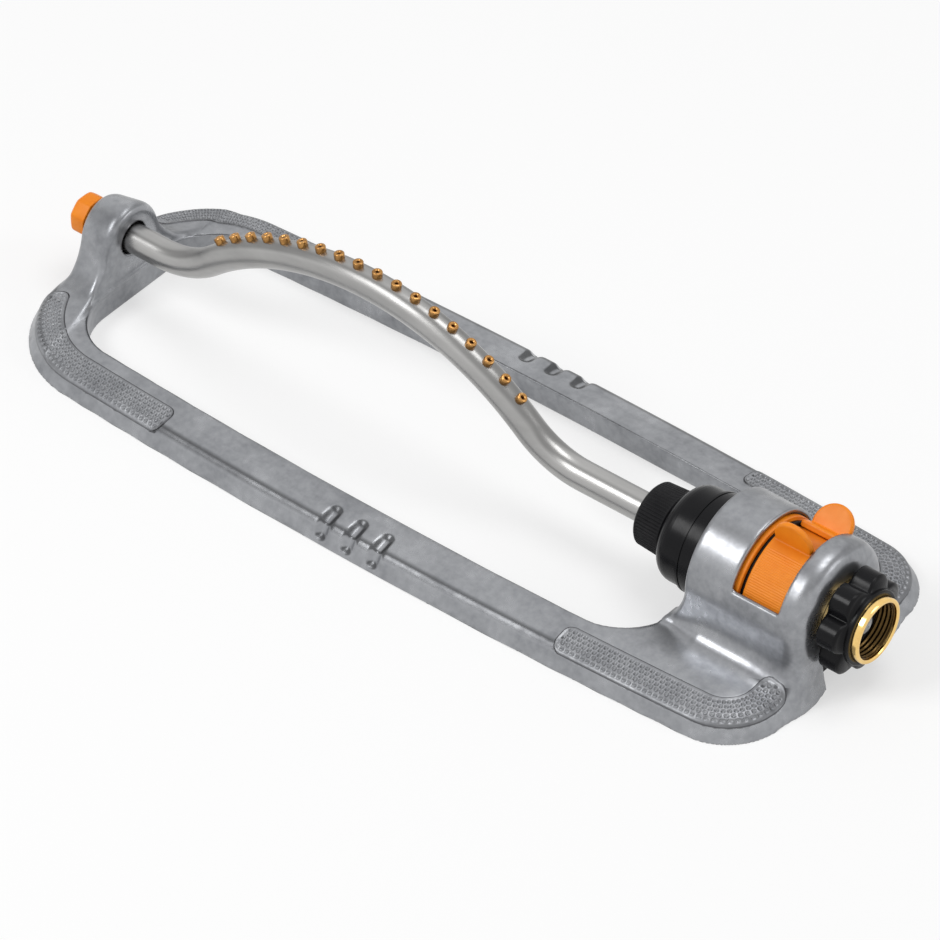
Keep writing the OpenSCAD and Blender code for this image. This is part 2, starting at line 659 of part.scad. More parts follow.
module second_gear() color("ivory") difference() {
    union() {
        wheel(stage_x(1), pinion_teeth, up);
        rod(stage_x(1) + gear_face - eps, stage_x(2) + eps, gear_module * pinion_teeth / 2 - 1);
        wheel(stage_x(2), wheel_teeth, up);
    }
    rod(stage_x(1) - 1, stage_x(2) + gear_face + 1, pin_r + fit);
}
sleeve_r = 2.9;
blade_count = 12;
module turbine() color("ivory") difference() {
    union() {
        wheel(stage_x(3), pinion_teeth, up);
        rod(stage_x(3) + gear_face - eps, turbine_x + turbine_w, sleeve_r);
        rod(turbine_x, turbine_x + turbine_w, 6);
        ring(turbine_x, turbine_x + 1.2, turbine_r, 5);
        for (k = [0:blade_count - 1]) on_axis(turbine_x) rotate([0, 0, k * 360 / blade_count])
            translate([5, -0.6, 0]) cube([turbine_r - 5.4, 1.2, turbine_w]);
    }
    rod(stage_x(3) - 1, turbine_x + turbine_w + 1, pin_r + fit);
}
module drive_rod() color("silver") rod(hub_end_x - 3, trip_x + trip_t + 0.6, pin_r);
module trip_arm() color("ivory") difference() {
    union() {
        rod(trip_x, trip_x + trip_t, 4.5);
        translate([trip_x, -2, axis_z]) cube([trip_t, 4, 15]);
    }
    rod(trip_x - 1, trip_x + trip_t + 1, pin_r + 0.02);
}
leg_a = 80;           // from the upright arm to each leg of the diverter
module diverter() color("ivory") {
    ring(diverter_x, diverter_x + diverter_t, 12, nose_r + fit);
    for (s = [-1, 1]) on_axis(diverter_x - trip_t) rotate([0, 0, 180 + s * leg_a])
        translate([7, -1.2, 0]) cube([4.5, 2.4, trip_t + 1]);
}
module trip_spring() color("silver")
    for (k = [0:2]) on_axis(diverter_x + diverter_t + 0.8 + k * 1.1) rotate_extrude()
        translate([nose_r + 0.8, 0]) circle(r = 0.45, $fn = 24);

knob_cap_t = 1.6;
module flow_knob() color([0.1, 0.1, 0.11]) on_axis(knob_x) rotate_extrude() polygon([
    [tube_r + 0.5, 0], [knob_r - 1, 0], [knob_r, 1], [knob_wide_r, knob_length - 1],
    [knob_wide_r - 1, knob_length], [hub_r + fit, knob_length],
    [hub_r + fit, knob_cap_t], [tube_r + 0.5, knob_cap_t]]);

// ---- clean-out plug -----------------------------------------------------
plug_sides = 8;
module end_plug() color("darkorange") difference() {
    union() {
        on_axis(plug_face_x) rotate([0, 0, 180 / plug_sides]) {
            cylinder(h = 1.5, r1 = plug_d / 2 - 1.5, r2 = plug_d / 2, $fn = plug_sides);
            translate([0, 0, 1.5]) cylinder(h = plug_t - 1.5, r = plug_d / 2, $fn = plug_sides);
        }
        rod(plug_face_x + plug_t - eps, tube_end_x + 12, plug_stem_r);
    }
    rod(tube_end_x + 6, tube_end_x + 13, needle_r + 0.02);
}
module plug_seal() color("black")
    ring(plug_face_x + plug_t, tube_end_x - 0.05, tube_r - 0.2, plug_stem_r + 0.02);
needle_r = 0.8;
module cleaning_pin() color("silver") rod(tube_end_x + 6, tube_end_x + 24, needle_r);

// ---- range stops ----------------------------------------------------------
// lean is measured from the vertical, positive towards +Y
stop_reach = 78;
near_edge = 8;
far_edge = 18;
function sector(r, a0, a1) = concat([[0, 0]], arc([0, 0], r, a0, a1, 12));
module stop(side, lean, edge) {
    inner_r = carrier_r + 0.4;
    a0 = lean - side * edge;
    a1 = lean + side * stop_reach;
    intersection() {
        ring(window_mid_x - stop_w / 2, window_mid_x + stop_w / 2, stop_r, inner_r);
        on_axis(window_mid_x - stop_w) linear_extrude(2 * stop_w)
            polygon(sector(2 * stop_r, 180 - min(a0, a1), 180 - max(a0, a1)));
    }
    difference() {
        translate([window_mid_x, 0, axis_z]) rotate([-lean, 0, 0]) translate([0, tab_t / 2, tab_rise])
            rotate([90, 0, 0]) cylinder(h = tab_t, r = tab_r);
        rod(window_mid_x - stop_w, window_mid_x + stop_w, inner_r + 1);
    }
}
module near_stop() color("darkorange") stop(-1, -near_lean, near_edge);
module far_stop() color("darkorange") stop(1, far_lean, far_edge);

// ---- hose swivel ----------------------------------------------------------
lobe_r = 5.5;
module swivel_nut() color([0.1, 0.1, 0.11]) difference() {
    union() {
        rod(nut_x, nut_x + nut_length, nut_r);
        for (k = [0:nut_lobes - 1]) on_axis(nut_x) rotate([0, 0, k * 360 / nut_lobes])
            translate([nut_lobe_r - lobe_r, 0, 0]) cylinder(h = nut_length - 2.5, r = lobe_r);
    }
    rod(nut_x - 1, nut_x + nut_length + 1, insert_r + seat / 2);
}
module hose_insert() color("gold") on_axis(insert_x) rotate_extrude() {
    length = total_length / 2 - insert_x;
    pocket_r = hose_r + 0.5;
    pocket_end = insert_collar_t + washer_pocket;
    polygon([
        [stem_r + fit, 0], [insert_r - 0.5, 0], [insert_r, 0.5], [insert_r, length - 0.6],
        [insert_r - 0.6, length], [hose_r + 1, length], [hose_r, length - lip_bevel],
        [hose_r, pocket_end], [pocket_r, pocket_end],
        [pocket_r, insert_collar_t], [stem_r + fit, insert_collar_t]]);
}
module hose_washer() color("black")
    ring(washer_x, washer_x + washer_t, hose_r + 0.3, stem_bore_r + 0.5);
screen_r = stem_bore_r - seat;
screen_h = 3.6;
module filter_screen() color("gray") on_axis(washer_x + washer_t - screen_h - 3) rotate_extrude()
    polygon(concat(
        [[screen_r - 1, 0], [screen_r, 0]],
        [for (a = [0:11.25:90]) [screen_r * cos(a), 2 + screen_h * sin(a)]],
        [for (a = [90:-11.25:0]) [(screen_r - 1) * cos(a), 2 + (screen_h - 1) * sin(a)]]));

base_casting();
tower_bush();
bottom_cover();
cover_screws();
case_front();
case_rear();
case_seal();
case_screws();
gear_plate();
idler_pin();
jet_plate();
stop_carrier();
trip_spring();
inlet_stem();
stem_seal();
stem_ring();
spray_tube();
nozzles();
end_sleeve();
tube_socket();
socket_seals();
output_gear();
drive_rod();
trip_arm();
flow_knob();
end_plug();
plug_seal();
cleaning_pin();
near_stop();
far_stop();
swivel_nut();
hose_insert();
hose_washer();
filter_screen();
third_gear();
second_gear();
first_gear();
turbine();
diverter();
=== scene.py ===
import math

import bmesh
import bpy
import numpy as np
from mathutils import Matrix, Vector


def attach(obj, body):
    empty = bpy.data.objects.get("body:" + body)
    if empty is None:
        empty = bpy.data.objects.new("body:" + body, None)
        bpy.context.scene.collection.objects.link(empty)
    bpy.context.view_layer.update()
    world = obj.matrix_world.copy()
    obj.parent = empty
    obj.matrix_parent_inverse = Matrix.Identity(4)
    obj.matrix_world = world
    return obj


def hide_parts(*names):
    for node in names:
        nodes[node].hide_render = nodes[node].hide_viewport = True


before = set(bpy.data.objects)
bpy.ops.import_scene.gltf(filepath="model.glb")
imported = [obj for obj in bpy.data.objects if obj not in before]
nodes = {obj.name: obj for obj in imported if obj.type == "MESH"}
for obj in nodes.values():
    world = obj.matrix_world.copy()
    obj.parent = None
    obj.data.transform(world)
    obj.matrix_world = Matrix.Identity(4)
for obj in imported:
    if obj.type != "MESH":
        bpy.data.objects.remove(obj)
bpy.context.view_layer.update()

mm = 0.001
axisHeight = 35.0  # millimetres, the line that the tube sweeps about
scene = bpy.context.scene
scene.view_settings.view_transform = "Standard"


# camera and light

camera = dict(
    azimuth=38.96,
    elevation=41.37,
    distance=3.1149,
    target=(0.01425, 0.0, 0.0),
    lens=253.4,
    shiftX=-0.0212,
    shiftY=0.0131,
)
view = bpy.data.objects.new("camera", bpy.data.cameras.new("camera"))
scene.collection.objects.link(view)
turn, tilt = math.radians(camera["azimuth"]), math.radians(camera["elevation"])
away = Vector((math.sin(turn) * math.cos(tilt), -math.cos(turn) * math.cos(tilt), math.sin(tilt)))
view.location = Vector(camera["target"]) + away * camera["distance"]
view.rotation_euler = away.to_track_quat("Z", "Y").to_euler()
view.data.lens = camera["lens"]
view.data.shift_x = camera["shiftX"]
view.data.shift_y = camera["shiftY"]
view.data.clip_end = 20
scene.camera = view

studio = dict(
    skyLight=0.42,  # what the sky gives to matt surfaces
    lamps=[  # name, place, size, power
        ("keyLamp", (-0.9, -1.5, 1.9), 1.1, 26),
        ("topLamp", (0.3, 0.5, 2.2), 1.2, 15),
        ("rimLamp", (1.9, 0.9, 1.2), 0.8, 7),
    ],
    floorSize=12.0,
    floorColour=(0.93, 0.93, 0.93, 1),
    floorGlow=0.55,  # how much of the floor is plain light where it is seen
)


def backdropRays(tree):
    # white to the camera and in every mirror, plain light elsewhere
    paths = tree.nodes.new("ShaderNodeLightPath")
    seen = tree.nodes.new("ShaderNodeMath")
    seen.operation = "MAXIMUM"
    both = tree.nodes.new("ShaderNodeMath")
    both.operation = "MAXIMUM"
    tree.links.new(paths.outputs["Is Camera Ray"], seen.inputs[0])
    tree.links.new(paths.outputs["Is Glossy Ray"], seen.inputs[1])
    tree.links.new(seen.outputs[0], both.inputs[0])
    tree.links.new(paths.outputs["Is Transmission Ray"], both.inputs[1])
    return both.outputs[0]


world = bpy.data.worlds.new("studio")
scene.world = world
world.use_nodes = True
sky = world.node_tree
level = sky.nodes.new("ShaderNodeMapRange")
level.inputs["To Min"].default_value = studio["skyLight"]
level.inputs["To Max"].default_value = 1.0
sky.links.new(backdropRays(sky), level.inputs["Value"])
sky.nodes["Background"].inputs["Color"].default_value = (1, 1, 1, 1)
sky.links.new(level.outputs["Result"], sky.nodes["Background"].inputs["Strength"])

for name, place, size, power in studio["lamps"]:
    lamp = bpy.data.objects.new(name, bpy.data.lights.new(name, "AREA"))
    scene.collection.objects.link(lamp)
    lamp.data.shape = "DISK"
    lamp.data.size = size
    lamp.data.energy = power
    lamp.location = place
    lamp.rotation_euler = Vector(place).to_track_quat("Z", "Y").to_euler()

bpy.ops.mesh.primitive_plane_add(size=studio["floorSize"])
floor = bpy.context.object
floor.name = "floor"
floorFinish = bpy.data.materials.new("floorWhite")
floorFinish.use_nodes = True
ground = floorFinish.node_tree
paper = ground.nodes["Principled BSDF"]
paper.inputs["Base Color"].default_value = studio["floorColour"]
paper.inputs["Roughness"].default_value = 0.9
paper.inputs["Specular IOR Level"].default_value = 0.0
glow = ground.nodes.new("ShaderNodeEmission")
glow.inputs["Color"].default_value = (1, 1, 1, 1)
lit = ground.nodes.new("ShaderNodeMixShader")
share = ground.nodes.new("ShaderNodeMath")
share.operation = "MULTIPLY"
share.inputs[1].default_value = studio["floorGlow"]
ground.links.new(backdropRays(ground), share.inputs[0])
ground.links.new(share.outputs[0], lit.inputs[0])
ground.links.new(paper.outputs[0], lit.inputs[1])
ground.links.new(glow.outputs[0], lit.inputs[2])
ground.links.new(lit.outputs[0], ground.nodes["Material Output"].inputs["Surface"])
floor.data.materials.append(floorFinish)
print("camera, lamps and floor are set")


# shader groups


def newGroup(name, inputs, outputs):
    group = bpy.data.node_groups.new(name, "ShaderNodeTree")
    for kind, label, value in inputs:
        socket = group.interface.new_socket(name=label, in_out="INPUT", socket_type=kind)
        socket.default_value = value
    for kind, label in outputs:
        group.interface.new_socket(name=label, in_out="OUTPUT", socket_type=kind)
    return group, group.nodes.new("NodeGroupInput").outputs, group.nodes.new("NodeGroupOutput").inputs


def addNode(tree, kind, settings=None, values=None):
    node = tree.nodes.new(kind)
    for key, value in (settings or {}).items():
        setattr(node, key, value)
    for key, value in (values or {}).items():
        node.inputs[key].default_value = value
    return node


number, tint, vector = "NodeSocketFloat", "NodeSocketColor", "NodeSocketVector"


def makeMottleGroup():
    # cloudy patches over finer cloud, for cast and moulded surfaces
    group, taken, given = newGroup(
        "mottle",
        [(vector, "Stretch", (1, 1, 1)), (number, "Scale", 60.0), (number, "Fine", 0.35)],
        [(number, "Mask")],
    )
    place = addNode(group, "ShaderNodeTexCoord")
    spread = addNode(group, "ShaderNodeVectorMath", {"operation": "MULTIPLY"})
    group.links.new(place.outputs["Object"], spread.inputs[0])
    group.links.new(taken["Stretch"], spread.inputs[1])
    broad = addNode(group, "ShaderNodeTexNoise", values={"Detail": 4.0, "Roughness": 0.6})
    group.links.new(spread.outputs[0], broad.inputs["Vector"])
    group.links.new(taken["Scale"], broad.inputs["Scale"])
    finer = addNode(group, "ShaderNodeMath", {"operation": "MULTIPLY"})
    finer.inputs[1].default_value = 7.0
    group.links.new(taken["Scale"], finer.inputs[0])
    small = addNode(group, "ShaderNodeTexNoise", values={"Detail": 3.0, "Roughness": 0.55})
    group.links.new(spread.outputs[0], small.inputs["Vector"])
    group.links.new(finer.outputs[0], small.inputs["Scale"])
    both = addNode(group, "ShaderNodeMix", {"data_type": "FLOAT"})
    group.links.new(taken["Fine"], both.inputs["Factor"])
    group.links.new(broad.outputs["Fac"], both.inputs["A"])
    group.links.new(small.outputs["Fac"], both.inputs["B"])
    sharp = addNode(group, "ShaderNodeMapRange", values={"From Min": 0.34, "From Max": 0.66})
    group.links.new(both.outputs["Result"], sharp.inputs["Value"])
    group.links.new(sharp.outputs["Result"], given["Mask"])
    return group


def makeGrainGroup():
    # the fine tooth of a surface, for a bump
    group, taken, given = newGroup(
        "grain",
        [(vector, "Stretch", (1, 1, 1)), (number, "Scale", 1500.0), (number, "Waves", 0.3)],
        [(number, "Height")],
    )
    place = addNode(group, "ShaderNodeTexCoord")
    spread = addNode(group, "ShaderNodeVectorMath", {"operation": "MULTIPLY"})
    group.links.new(place.outputs["Object"], spread.inputs[0])
    group.links.new(taken["Stretch"], spread.inputs[1])
    tooth = addNode(group, "ShaderNodeTexNoise", values={"Detail": 2.0})
    group.links.new(spread.outputs[0], tooth.inputs["Vector"])
    group.links.new(taken["Scale"], tooth.inputs["Scale"])
    slower = addNode(group, "ShaderNodeMath", {"operation": "MULTIPLY"})
    slower.inputs[1].default_value = 0.09
    group.links.new(taken["Scale"], slower.inputs[0])
    swell = addNode(group, "ShaderNodeTexNoise", values={"Detail": 1.0})
    group.links.new(spread.outputs[0], swell.inputs["Vector"])
    group.links.new(slower.outputs[0], swell.inputs["Scale"])
    both = addNode(group, "ShaderNodeMix", {"data_type": "FLOAT"})
    group.links.new(taken["Waves"], both.inputs["Factor"])
    group.links.new(tooth.outputs["Fac"], both.inputs["A"])
    group.links.new(swell.outputs["Fac"], both.inputs["B"])
    group.links.new(both.outputs["Result"], given["Height"])
    return group


def makeEdgeWearGroup():
    # bright edges, part rubbing and part painted highlight, and painted shade in the hollows, both from the
    # surface's own curvature
    group, taken, given = newGroup(
        "edgeWear",
        [(tint, "Color", (0.5, 0.5, 0.5, 1)), (tint, "Worn", (0.8, 0.8, 0.8, 1)),
         (tint, "Hollow", (0.2, 0.2, 0.2, 1)), (number, "Wear", 0.5), (number, "Dirt", 0.5)],
        [(tint, "Color")],
    )
    shape = addNode(group, "ShaderNodeNewGeometry")
    breakup = addNode(group, "ShaderNodeTexNoise", values={"Scale": 160.0, "Detail": 3.0})
    place = addNode(group, "ShaderNodeTexCoord")
    group.links.new(place.outputs["Object"], breakup.inputs["Vector"])
    edge = addNode(group, "ShaderNodeMapRange", values={"From Min": 0.545, "From Max": 0.64})
    group.links.new(shape.outputs["Pointiness"], edge.inputs["Value"])
    rub = addNode(group, "ShaderNodeMath", {"operation": "MULTIPLY"})
    group.links.new(edge.outputs["Result"], rub.inputs[0])
    group.links.new(breakup.outputs["Fac"], rub.inputs[1])
    worn = addNode(group, "ShaderNodeMath", {"operation": "MULTIPLY", "use_clamp": True})
    group.links.new(rub.outputs[0], worn.inputs[0])
    group.links.new(taken["Wear"], worn.inputs[1])
    deep = addNode(group, "ShaderNodeMapRange", values={"From Min": 0.48, "From Max": 0.4})
    group.links.new(shape.outputs["Pointiness"], deep.inputs["Value"])
    dull = addNode(group, "ShaderNodeMath", {"operation": "MULTIPLY", "use_clamp": True})
    group.links.new(deep.outputs["Result"], dull.inputs[0])
    group.links.new(taken["Dirt"], dull.inputs[1])
    first = addNode(group, "ShaderNodeMix", {"data_type": "RGBA"})
    group.links.new(worn.outputs[0], first.inputs["Factor"])
    group.links.new(taken["Color"], first.inputs["A"])
    group.links.new(taken["Worn"], first.inputs["B"])
    second = addNode(group, "ShaderNodeMix", {"data_type": "RGBA"})
    group.links.new(dull.outputs[0], second.inputs["Factor"])
    group.links.new(first.outputs["Result"], second.inputs["A"])
    group.links.new(taken["Hollow"], second.inputs["B"])
    group.links.new(second.outputs["Result"], given["Color"])
    return group


def makeSlopeBandGroup():
    # painted shade: a darker band where a surface turns over from its top to its side, standing in for the
    # dark studio reflection there, at full strength under the given height and weaker above it
    group, taken, given = newGroup(
        "slopeBand",
        [(tint, "Color", (0.5, 0.5, 0.5, 1)), (number, "Depth", 0.4), (number, "Below", 0.02)],
        [(tint, "Color")],
    )
    shape = addNode(group, "ShaderNodeNewGeometry")
    parts = addNode(group, "ShaderNodeSeparateXYZ")
    group.links.new(shape.outputs["Normal"], parts.inputs[0])
    ramp = {"interpolation_type": "SMOOTHSTEP"}
    low = addNode(group, "ShaderNodeMapRange", ramp, {"From Min": 0.56, "From Max": 0.74})
    high = addNode(group, "ShaderNodeMapRange", ramp, {"From Min": 0.985, "From Max": 0.88})
    for side in (low, high):
        group.links.new(parts.outputs["Z"], side.inputs["Value"])
    both = addNode(group, "ShaderNodeMath", {"operation": "MULTIPLY"})
    group.links.new(low.outputs["Result"], both.inputs[0])
    group.links.new(high.outputs["Result"], both.inputs[1])
    place = addNode(group, "ShaderNodeTexCoord")
    height = addNode(group, "ShaderNodeSeparateXYZ")
    group.links.new(place.outputs["Object"], height.inputs[0])
    beneath = addNode(group, "ShaderNodeMath", {"operation": "LESS_THAN"})
    group.links.new(height.outputs["Z"], beneath.inputs[0])
    group.links.new(taken["Below"], beneath.inputs[1])
    share = addNode(group, "ShaderNodeMapRange", values={"To Min": 0.4, "To Max": 1.0})
    group.links.new(beneath.outputs[0], share.inputs["Value"])
    placed = addNode(group, "ShaderNodeMath", {"operation": "MULTIPLY"})
    group.links.new(both.outputs[0], placed.inputs[0])
    group.links.new(share.outputs["Result"], placed.inputs[1])
    less = addNode(group, "ShaderNodeMath", {"operation": "MULTIPLY"})
    group.links.new(placed.outputs[0], less.inputs[0])
    group.links.new(taken["Depth"], less.inputs[1])
    keep = addNode(group, "ShaderNodeMath", {"operation": "SUBTRACT"})
    keep.inputs[0].default_value = 1.0
    group.links.new(less.outputs[0], keep.inputs[1])
    shade = addNode(group, "ShaderNodeVectorMath", {"operation": "SCALE"})
    group.links.new(taken["Color"], shade.inputs[0])
    group.links.new(keep.outputs[0], shade.inputs["Scale"])
    group.links.new(shade.outputs[0], given["Color"])
    return group


mottle = makeMottleGroup()
grain = makeGrainGroup()
edgeWear = makeEdgeWearGroup()
slopeBand = makeSlopeBandGroup()


def addGroup(tree, group, **values):
    node = tree.nodes.new("ShaderNodeGroup")
    node.node_tree = group
    for label, value in values.items():
        node.inputs[label].default_value = value
    return node


def makeFinish(name, look):
    # light and dark are the tones that the mottle moves between, band is how much painted shade darkens a
    # turned edge
    finish = bpy.data.materials.new(name)
    finish.use_nodes = True
    tree = finish.node_tree
    shader = tree.nodes["Principled BSDF"]
    stretch = look.get("stretch", (1, 1, 1))
    cloud = addGroup(tree, mottle, Scale=look["cloud"], Fine=look.get("fine", 0.35), Stretch=stretch)
    tone = addNode(tree, "ShaderNodeMix", {"data_type": "RGBA"})
    tone.inputs["A"].default_value = (*look["dark"], 1)
    tone.inputs["B"].default_value = (*look["light"], 1)
    tree.links.new(cloud.outputs["Mask"], tone.inputs["Factor"])
    # bright edges that are part rubbing, part painted highlight, and painted shade in the hollows
    wear = addGroup(tree, edgeWear, Worn=(*look["worn"], 1), Hollow=(*look["hollow"], 1),
                    Wear=look.get("wear", 0.6), Dirt=look.get("dirt", 0.5))
    band = addGroup(tree, slopeBand, Depth=look.get("band", 0.0), Below=look.get("bandBelow", 0.0135))
    tree.links.new(tone.outputs["Result"], band.inputs["Color"])
    tree.links.new(band.outputs["Color"], wear.inputs["Color"])
    tree.links.new(wear.outputs["Color"], shader.inputs["Base Color"])
    low, high = look["rough"]
    rough = addNode(tree, "ShaderNodeMapRange", values={"To Min": high, "To Max": low})
    tree.links.new(cloud.outputs["Mask"], rough.inputs["Value"])
    tree.links.new(rough.outputs["Result"], shader.inputs["Roughness"])
    tooth = addGroup(tree, grain, Scale=look["grain"], Waves=look.get("waves", 0.3), Stretch=stretch)
    bump = addNode(tree, "ShaderNodeBump", values={"Strength": look["bump"], "Distance": look["depth"] * mm})
    tree.links.new(tooth.outputs["Height"], bump.inputs["Height"])
    tree.links.new(bump.outputs["Normal"], shader.inputs["Normal"])
    shader.inputs["Metallic"].default_value = look.get("metallic", 0.0)
    shader.inputs["Specular IOR Level"].default_value = look.get("specular", 0.5)
    shader.inputs["Coat Weight"].default_value = look.get("coat", 0.0)
    shader.inputs["Coat Roughness"].default_value = 0.12
    return finish


looks = dict(
    # in each look the band settings give painted shade where a surface turns over (full strength everywhere
    # on the tube), the hollow tone and its amount give painted shade in hollows, and the bright edge tone
    # and its amount give edges that are part rubbing, part painted highlight
    castMetal=dict(light=(0.37, 0.378, 0.395), dark=(0.215, 0.221, 0.235), worn=(0.78, 0.79, 0.8),
                   hollow=(0.08, 0.082, 0.088), cloud=38.0, rough=(0.24, 0.38), metallic=0.85,
                   grain=900.0, bump=0.3, depth=0.05, wear=1.3, dirt=1.2, band=0.72),
    # the grips' near-black hollow tone at a high amount paints shade into the dimples
    gripMetal=dict(light=(0.34, 0.347, 0.362), dark=(0.22, 0.226, 0.24), worn=(0.6, 0.61, 0.62),
                   hollow=(0.02, 0.02, 0.022), cloud=55.0, rough=(0.34, 0.48), metallic=0.8,
                   grain=1400.0, bump=0.3, depth=0.05, wear=0.7, dirt=3.0, band=0.4),
    drawnTube=dict(light=(0.43, 0.426, 0.418), dark=(0.31, 0.307, 0.302), worn=(0.5, 0.5, 0.49),
                   hollow=(0.3, 0.29, 0.28), cloud=26.0, rough=(0.26, 0.36), metallic=1.0,
                   stretch=(0.3, 1.2, 1.2), grain=1600.0, bump=0.05, depth=0.03, wear=0.1,
                   fine=0.2, band=0.4, bandBelow=1.0),
    orangePlastic=dict(light=(0.88, 0.27, 0.008), dark=(0.8, 0.215, 0.006), worn=(1.0, 0.4, 0.04),
                       hollow=(0.5, 0.085, 0.004), cloud=40.0, rough=(0.36, 0.48), specular=0.3,
                       grain=1800.0, bump=0.18, depth=0.04, wear=0.3, dirt=0.8),
    glossBlack=dict(light=(0.007, 0.007, 0.008), dark=(0.004, 0.004, 0.005), worn=(0.03, 0.03, 0.033),
                    hollow=(0.002, 0.002, 0.002), cloud=50.0, rough=(0.2, 0.3), grain=700.0,
                    bump=0.12, depth=0.03, wear=0.3, specular=0.14),
    matteBlack=dict(light=(0.011, 0.011, 0.012), dark=(0.006, 0.006, 0.007), worn=(0.04, 0.04, 0.043),
                    hollow=(0.003, 0.003, 0.003), cloud=60.0, rough=(0.42, 0.56), grain=2200.0,
                    bump=0.35, depth=0.05, wear=0.5, specular=0.12),
    brightBrass=dict(light=(0.93, 0.66, 0.26), dark=(0.84, 0.55, 0.19), worn=(1.0, 0.83, 0.5),
                     hollow=(0.32, 0.19, 0.06), cloud=80.0, rough=(0.09, 0.17), metallic=1.0,
                     grain=900.0, bump=0.1, depth=0.03, wear=0.5),
    # a darker copy of the bright brass, painted shade for the threads inside the fitting
    threadBrass=dict(light=(0.12, 0.075, 0.028), dark=(0.06, 0.036, 0.013), worn=(0.4, 0.27, 0.11),
                     hollow=(0.05, 0.03, 0.01), cloud=120.0, rough=(0.25, 0.4), metallic=1.0,
                     grain=900.0, bump=0.1, depth=0.03, wear=0.6, dirt=1.0),
    jetBrass=dict(light=(0.5, 0.27, 0.09), dark=(0.26, 0.125, 0.04), worn=(0.85, 0.56, 0.26),
                  hollow=(0.09, 0.04, 0.012), cloud=320.0, rough=(0.24, 0.38), metallic=1.0,
                  grain=2600.0, bump=0.2, depth=0.03, wear=1.0, dirt=1.4),
    softRubber=dict(light=(0.012, 0.012, 0.013), dark=(0.007, 0.007, 0.008), worn=(0.035, 0.035, 0.035),
                    hollow=(0.004, 0.004, 0.004), cloud=90.0, rough=(0.6, 0.75), grain=1600.0,
                    bump=0.3, depth=0.05, specular=0.3),
    ivoryPlastic=dict(light=(0.78, 0.76, 0.69), dark=(0.7, 0.68, 0.6), worn=(0.9, 0.89, 0.84),
                      hollow=(0.42, 0.4, 0.34), cloud=70.0, rough=(0.38, 0.5), grain=1700.0,
                      bump=0.15, depth=0.04),
    brightSteel=dict(light=(0.6, 0.6, 0.61), dark=(0.46, 0.46, 0.47), worn=(0.8, 0.8, 0.8),
                     hollow=(0.2, 0.2, 0.2), cloud=120.0, rough=(0.2, 0.34), metallic=1.0,
                     stretch=(0.3, 2, 2), grain=2400.0, bump=0.2, depth=0.03),
    screenSteel=dict(light=(0.5, 0.5, 0.49), dark=(0.36, 0.36, 0.35), worn=(0.7, 0.7, 0.69),
                     hollow=(0.15, 0.15, 0.15), cloud=300.0, rough=(0.4, 0.55), metallic=0.3,
                     grain=3000.0, bump=0.3, depth=0.05),
)
finishes = {name: makeFinish(name, look) for name, look in looks.items()}
print("finishes are mixed:", len(finishes))


# mesh tools, in millimetres


def addPiece(name, points, quads, finish, body, *replaced):
    points = np.asarray(points, float) * mm
    mesh = bpy.data.meshes.new(name)
    mesh.vertices.add(len(points))
    mesh.vertices.foreach_set("co", points.astype(np.float32).ravel())
    mesh.loops.add(quads.size)
    mesh.loops.foreach_set("vertex_index", quads.astype(np.int32).ravel())
    mesh.polygons.add(len(quads))
    mesh.polygons.foreach_set("loop_start", np.arange(0, quads.size, 4, dtype=np.int32))
    mesh.update(calc_edges=True)
    mesh.validate()
    mesh.polygons.foreach_set("use_smooth", [True] * len(mesh.polygons))
    piece = bpy.data.objects.new(name, mesh)
    scene.collection.objects.link(piece)
    mesh.materials.append(finishes[finish])
    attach(piece, body)
    if replaced:
        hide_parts(*replaced)
    return piece


def smoothMin(a, b, k):
    h = np.clip(0.5 + 0.5 * (b - a) / k, 0, 1)
    return b + (a - b) * h - k * h * (1 - h)


def smoothMax(a, b, k):
    return -smoothMin(-a, -b, k)


def slopeOf(field, p, step=0.05):
    out = np.empty_like(p)
    for n in range(3):
        shift = np.zeros(3)
        shift[n] = step
        ahead, behind = p + shift, p - shift
        out[:, n] = (field(*ahead.T) - field(*behind.T)) / (2 * step)
    return out


def settle(field, p, reach, rounds=3):
    # moves points onto the surface where the field is nought
    for _ in range(rounds):
        slope = slopeOf(field, p)
        move = -field(*p.T)[:, None] * slope / np.maximum((slope ** 2).sum(1), 0.05)[:, None]
        length = np.linalg.norm(move, axis=1)[:, None]
        p = p + move * np.minimum(1, reach / np.maximum(length, 1e-9))
    return p


